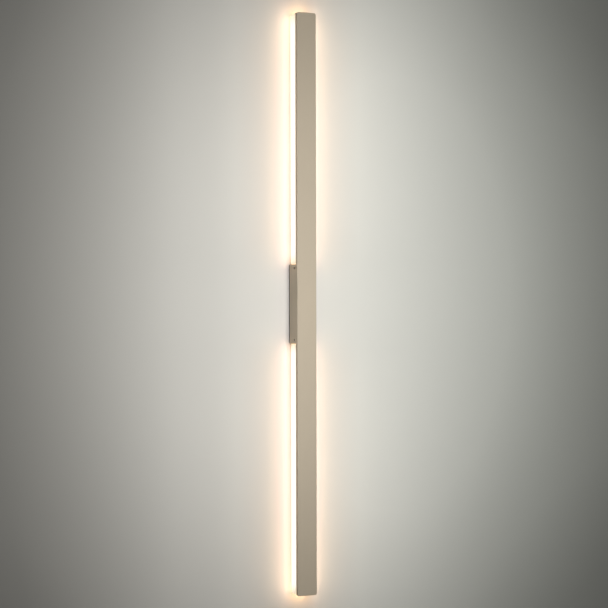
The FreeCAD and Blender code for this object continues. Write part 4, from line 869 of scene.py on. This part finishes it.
def light_rows():
    """Light packages with a sunk window, in a row on each board, and the leads' solder: a low
    dome on each of the board's pads."""
    half_width, half_length, corner, front = 1.4, 1.75, 0.4, 27.9
    pad_rise, dome_radius, dome_stop = 80.7, 1.2, 1.4
    profile = [(0.52, front + 0.22), (0.42, front + 0.02), (0.36, front), (0.08, front),
               (0.0, front + 0.08), (0.0, BOARD_FACE)]
    package = np.array(tray_rings(half_width, half_length, corner, profile, steps=3))
    heights = np.arange(ROW_START, ROW_STOP + 1, LIGHT_PITCH)
    dome = arc((0, -BOARD_FACE), dome_radius, 0, dome_stop, steps=8)
    for level, sign, pads in (("upper", 1, (-6.2, -2.2, 2.2, 6.2)), ("lower", -1, (-6.2, 6.2))):
        packages = [skin(package + (0, 0, sign * height)) for height in heights]
        make_piece(f"{level}_light_row", packages, "led_package", f"{level}_leds")
        domes = [turned(dome, "back", (across, 0, sign * pad_rise), segments=24) for across in pads]
        make_piece(f"{level}_solder", domes, "solder_tin", f"{level}_solder_joints")


def can(across, rise, radius):
    """Capacitor: rounded foot, the neck above it, sleeve, and the pressed top."""
    foot, top, neck = -18.7, -12.2, radius - 0.3
    profile = [(radius - 0.3, foot), (radius - 0.06, foot + 0.15), (radius, foot + 0.4),
               (radius, foot + 1.2), (neck, foot + 1.5), (neck, foot + 1.7), (radius, foot + 2.0),
               (radius, top - 0.4), (radius - 0.08, top - 0.1), (radius - 0.3, top),
               (radius - 0.6, top), (radius - 0.7, top - 0.15)]
    return turned(profile, "back", (across, 0, rise))


def choke_line(count, turns, offset, radius, sides):
    """Tube round the choke: at angle a its line is the ring's circle, plus the offset turned
    by turns * a from the radial direction towards +Y, which winds it."""
    middle, ring_radius = np.array([6.5, -17.1, 0.0]), 3.4
    angle = full_turn(count)
    radial = np.stack([np.cos(angle), np.zeros(count), np.sin(angle)], -1)
    wound = (turns * angle)[:, None]
    lift = np.cos(wound) * radial + np.sin(wound) * np.array([0, 1.0, 0])
    return tube(middle + ring_radius * radial + offset * lift, lift, radius, sides)


def driver_pieces():
    """Round pieces on the driver's board: the two cans, the fuse and the wound ring."""
    cans = [can(-7, 0, 4.0), can(7, 35, 3.15)]
    make_piece("driver_cans", cans, "capacitor_sleeve", "driver_capacitors")
    cap, body = 1.6, 1.45
    profile = [(cap - 0.3, -16.5), (cap, -16.25), (cap, -14.9), (body, -14.8),
               (body, -11.2), (cap, -11.1), (cap, -9.75), (cap - 0.3, -9.5)]
    fuse = turned(profile, "up", (5.5, -17.1, 0), segments=32)
    make_piece("ceramic_fuse", [fuse], "fuse_body", "driver_fuse")
    ring = choke_line(count=64, turns=0, offset=0.0, radius=1.28, sides=20)
    make_piece("choke_ring", [ring], "ferrite", "driver_choke")
    wire = choke_line(count=22 * 16, turns=22, offset=1.43, radius=0.16, sides=6)
    make_piece("choke_wire", [wire], "winding_tape", "driver_choke")


# ------------------------------------- stage, lamps and camera

# Floor's height, how far the sheets reach, and the wall's clearance from the light's back.
FLOOR_Z = -1.3
REACH = 14.0
WALL_Y = 0.0002

# The wall's painted light and shade, as tints: a little warmer and darker at its left, lighter at
# its right, and painted shade near the light and right beside it.
LEFT_PAINTED_SHADE = colour(1.0, 0.992, 0.960)
RIGHT_PAINTED_LIGHT = colour(1.0, 1.035, 0.995)
NEAR_PAINTED_SHADE = colour(0.90, 0.845, 0.83)
CLOSEST_PAINTED_SHADE = colour(0.88, 0.835, 0.94)

# Light from all around, and the room as the camera sees it.
AMBIENT = colour(0.105, 0.105, 0.103)
ROOM = colour(0.72, 0.71, 0.69)

# The photograph's camera: 28 degrees to the left, at the light's own height. Its focal length
# and its picture's width are in pixels.
AZIMUTH, ELEVATION, ROLL = -28.0, -0.181, -0.112
AIM = Vector((0.01128, 0, 0.00012))
DISTANCE = 3.288
FOCAL_PIXELS = 1898
PICTURE_PIXELS = 608
SENSOR_MM = 36.0


def painted_wall_light_and_shade(recipe, paint):
    """The wall's paint with painted light and shade as the photograph shows it, across and up from
    the light's middle. Painted shade darkens it away from the light in an upright oval, less above
    and below the light, where painted light brightens it, and more in the corners and a hand's
    width left of the bar. Near the light, painted shade makes its brightness roll off softly and
    warmly, except beside the mount and beyond the bar's ends."""
    axis = recipe.axes()
    across = recipe.absolute(axis["X"])
    rise = recipe.absolute(axis["Z"])
    # Painted light and shade: the wall a little lighter to the right.
    to_right = recipe.ramp(axis["X"], -0.10, 0.50)
    paint = recipe.blend(1.0, paint, recipe.blend(to_right, LEFT_PAINTED_SHADE, RIGHT_PAINTED_LIGHT), "MULTIPLY")
    # Painted shade away from the light: an upright oval, the corners and a band left of the bar,
    # with painted light above and below the bar.
    stretched = {"Vector": recipe.position(), "Location": (-0.20, 0, -0.01), "Scale": (1, 1, 0.62)}
    oval = recipe.length(recipe.add("Mapping", stretched).outputs["Vector"])
    above = recipe.product(recipe.ramp(across, 0.04, 0.46, 1.0, 0.0, smooth=True),
                           recipe.ramp(rise, 0.08, 0.50))
    corner = recipe.absolute(recipe.product(axis["X"], axis["Z"]))
    from_left_shade = recipe.absolute(recipe.math("ADD", axis["X"], 0.11))
    painted_falloff = recipe.product(recipe.ramp(oval, 0.24, 0.76, 1.0, 0.50),
                          recipe.toward(above, 1.24),
                          recipe.ramp(corner, 0.19, 0.32, 1.0, 0.86),
                          recipe.ramp(from_left_shade, 0.04, 0.14, 0.93, 1.0, smooth=True))
    paint = recipe.scaled(paint, painted_falloff)
    # Painted shade near the light and right beside it, weaker beside the mount and fading beyond
    # the bar's ends.
    off_mount = recipe.ramp(rise, 0.03, 0.12, 0.25, 1.0, smooth=True)
    near = recipe.product(recipe.ramp(across, 0.03, 0.12, 1.0, 0.0), off_mount,
                          recipe.ramp(rise, 0.42, 0.80, 1.0, 0.0))
    closest_shade = recipe.product(recipe.ramp(across, 0.022, 0.052, 1.0, 0.0), off_mount,
                             recipe.ramp(rise, 0.36, 0.60, 1.0, 0.0))
    paint = recipe.blend(near, paint, NEAR_PAINTED_SHADE, "MULTIPLY")
    return recipe.blend(closest_shade, paint, CLOSEST_PAINTED_SHADE, "MULTIPLY")


def stage_material(name, tint, far_tone, far_start, far_stop, pattern=None):
    """Matt paint that shows only from its front, so that views from behind see the light. Far from
    the light the camera sees it as evenly pale as a lit room. A pattern is a function that changes
    the paint's colour; the wall's pattern paints light and shade into it."""
    recipe, shader = new_material(name, Roughness=0.85, Specular_IOR_Level=0.2,
                                  Emission_Strength=1.0)
    paint = effect(recipe, "tone drift", Color=tint, Amount=0.015, Scale=2.0)["Color"]
    if pattern:
        paint = pattern(recipe, paint)
    recipe.link(paint, shader.inputs["Base Color"])
    path = recipe.add("LightPath").outputs
    away = recipe.length(recipe.position())
    far = recipe.ramp(away, far_start, far_stop, 0.0, far_tone, smooth=True)
    pale = recipe.scaled((1.0, 0.99, 0.96), recipe.product(far, path["Is Camera Ray"]))
    recipe.link(pale, shader.inputs["Emission Color"])
    grain = recipe.noise(recipe.position(), 160.0, detail=4.0, rough=0.6)
    bump = recipe.add("Bump", {"Strength": 0.05, "Distance": 0.0005, "Height": grain})
    recipe.link(bump.outputs["Normal"], shader.inputs["Normal"])
    behind = recipe.add("NewGeometry").outputs["Backfacing"]
    passed = recipe.math("MINIMUM", path["Transparent Depth"], 1.0)
    clear = recipe.add("BsdfTransparent").outputs[0]
    shown = recipe.add("MixShader", {0: recipe.math("MAXIMUM", behind, passed),
                                     1: shader.outputs[0], 2: clear})
    recipe.link(shown.outputs[0], recipe.tree.nodes["Material Output"].inputs["Surface"])


def sheet_of(name, corners, slot):
    """One face of the stage."""
    mesh = bpy.data.meshes.new(name)
    mesh.from_pydata(corners, [], [(0, 1, 2, 3)])
    board = bpy.data.objects.new(name, mesh)
    bpy.context.scene.collection.objects.link(board)
    mesh.materials.append(MATERIALS[slot])


def stage():
    """Wall just behind the light's back, and the floor below it."""
    stage_material("pale_wall", colour(0.84, 0.828, 0.787), far_tone=0.33, far_start=0.74,
                   far_stop=4.0, pattern=painted_wall_light_and_shade)
    stage_material("pale_floor", colour(0.42, 0.414, 0.402), far_tone=0.60, far_start=0.2,
                   far_stop=1.2)
    square = ((-REACH, -REACH), (REACH, -REACH), (REACH, REACH), (-REACH, REACH))
    sheet_of("wall", [(across, WALL_Y, max(rise, FLOOR_Z)) for across, rise in square], "pale_wall")
    sheet_of("floor", [(across, depth, FLOOR_Z) for across, depth in square], "pale_floor")


def lamp(name, position, aim, size, watts):
    """Lit rectangle of a width and a height that the camera doesn't see."""
    light = bpy.data.lights.new(name, "AREA")
    light.shape = "RECTANGLE"
    light.size, light.size_y = size
    light.energy = watts
    holder = bpy.data.objects.new(name, light)
    bpy.context.scene.collection.objects.link(holder)
    holder.location = position
    holder.rotation_euler = (Vector(aim) - Vector(position)).to_track_quat("-Z", "Y").to_euler()
    holder.visible_camera = False


def lamps():
    """Soft lamps in front of the bar, over it, and behind the wall for views from behind, in
    a dim room."""
    lamp("soft_front", (-0.06, -0.60, 0.03), (-0.01, 0, 0.03), (0.35, 0.85), 4.1)
    lamp("soft_top", (0, -0.12, 1.8), (0, -0.02, 0.5), (0.4, 0.4), 5.0)
    for name, side in (("soft_rear_left", 1), ("soft_rear_right", -1)):
        lamp(name, (side * 2.0, 1.9, 0.9), (0, 0, 0), (1.2, 1.2), 40.0)
    world = bpy.data.worlds.new("pale_room")
    bpy.context.scene.world = world
    world.use_nodes = True
    recipe = Recipe(world.node_tree)
    path = recipe.add("LightPath").outputs
    shown = recipe.math("MAXIMUM", path["Is Camera Ray"], path["Is Transmission Ray"])
    background = world.node_tree.nodes["Background"]
    recipe.link(recipe.blend(shown, AMBIENT, ROOM), background.inputs["Color"])


def photo_camera():
    """Camera on a sphere round its aim: back = (sin a cos e, -cos a cos e, sin e), with its
    right and up directions turned by the roll about it."""
    azimuth, elevation, roll = (math.radians(angle) for angle in (AZIMUTH, ELEVATION, ROLL))
    back = Vector((math.sin(azimuth) * math.cos(elevation),
                   -math.cos(azimuth) * math.cos(elevation), math.sin(elevation)))
    level = Vector((math.cos(azimuth), math.sin(azimuth), 0))
    upright = back.cross(level)
    right = level * math.cos(roll) + upright * math.sin(roll)
    up = upright * math.cos(roll) - level * math.sin(roll)
    data = bpy.data.cameras.new("photo_camera")
    data.sensor_width = SENSOR_MM
    data.lens = SENSOR_MM * FOCAL_PIXELS / PICTURE_PIXELS
    camera = bpy.data.objects.new("photo_camera", data)
    bpy.context.scene.collection.objects.link(camera)
    turn = Matrix((right, up, back)).transposed().to_4x4()
    camera.matrix_world = Matrix.Translation(AIM + back * DISTANCE) @ turn
    bpy.context.scene.camera = camera


# ------------------------------------- the whole scene

photo_camera()
stage()
lamps()
make_materials()
dress_nodes()
front_bar()
channel("upper_diffuser")
channel("lower_diffuser")
fasteners()
grommet()
light_rows()
driver_pieces()

bpy.context.scene.view_settings.view_transform = "Standard"
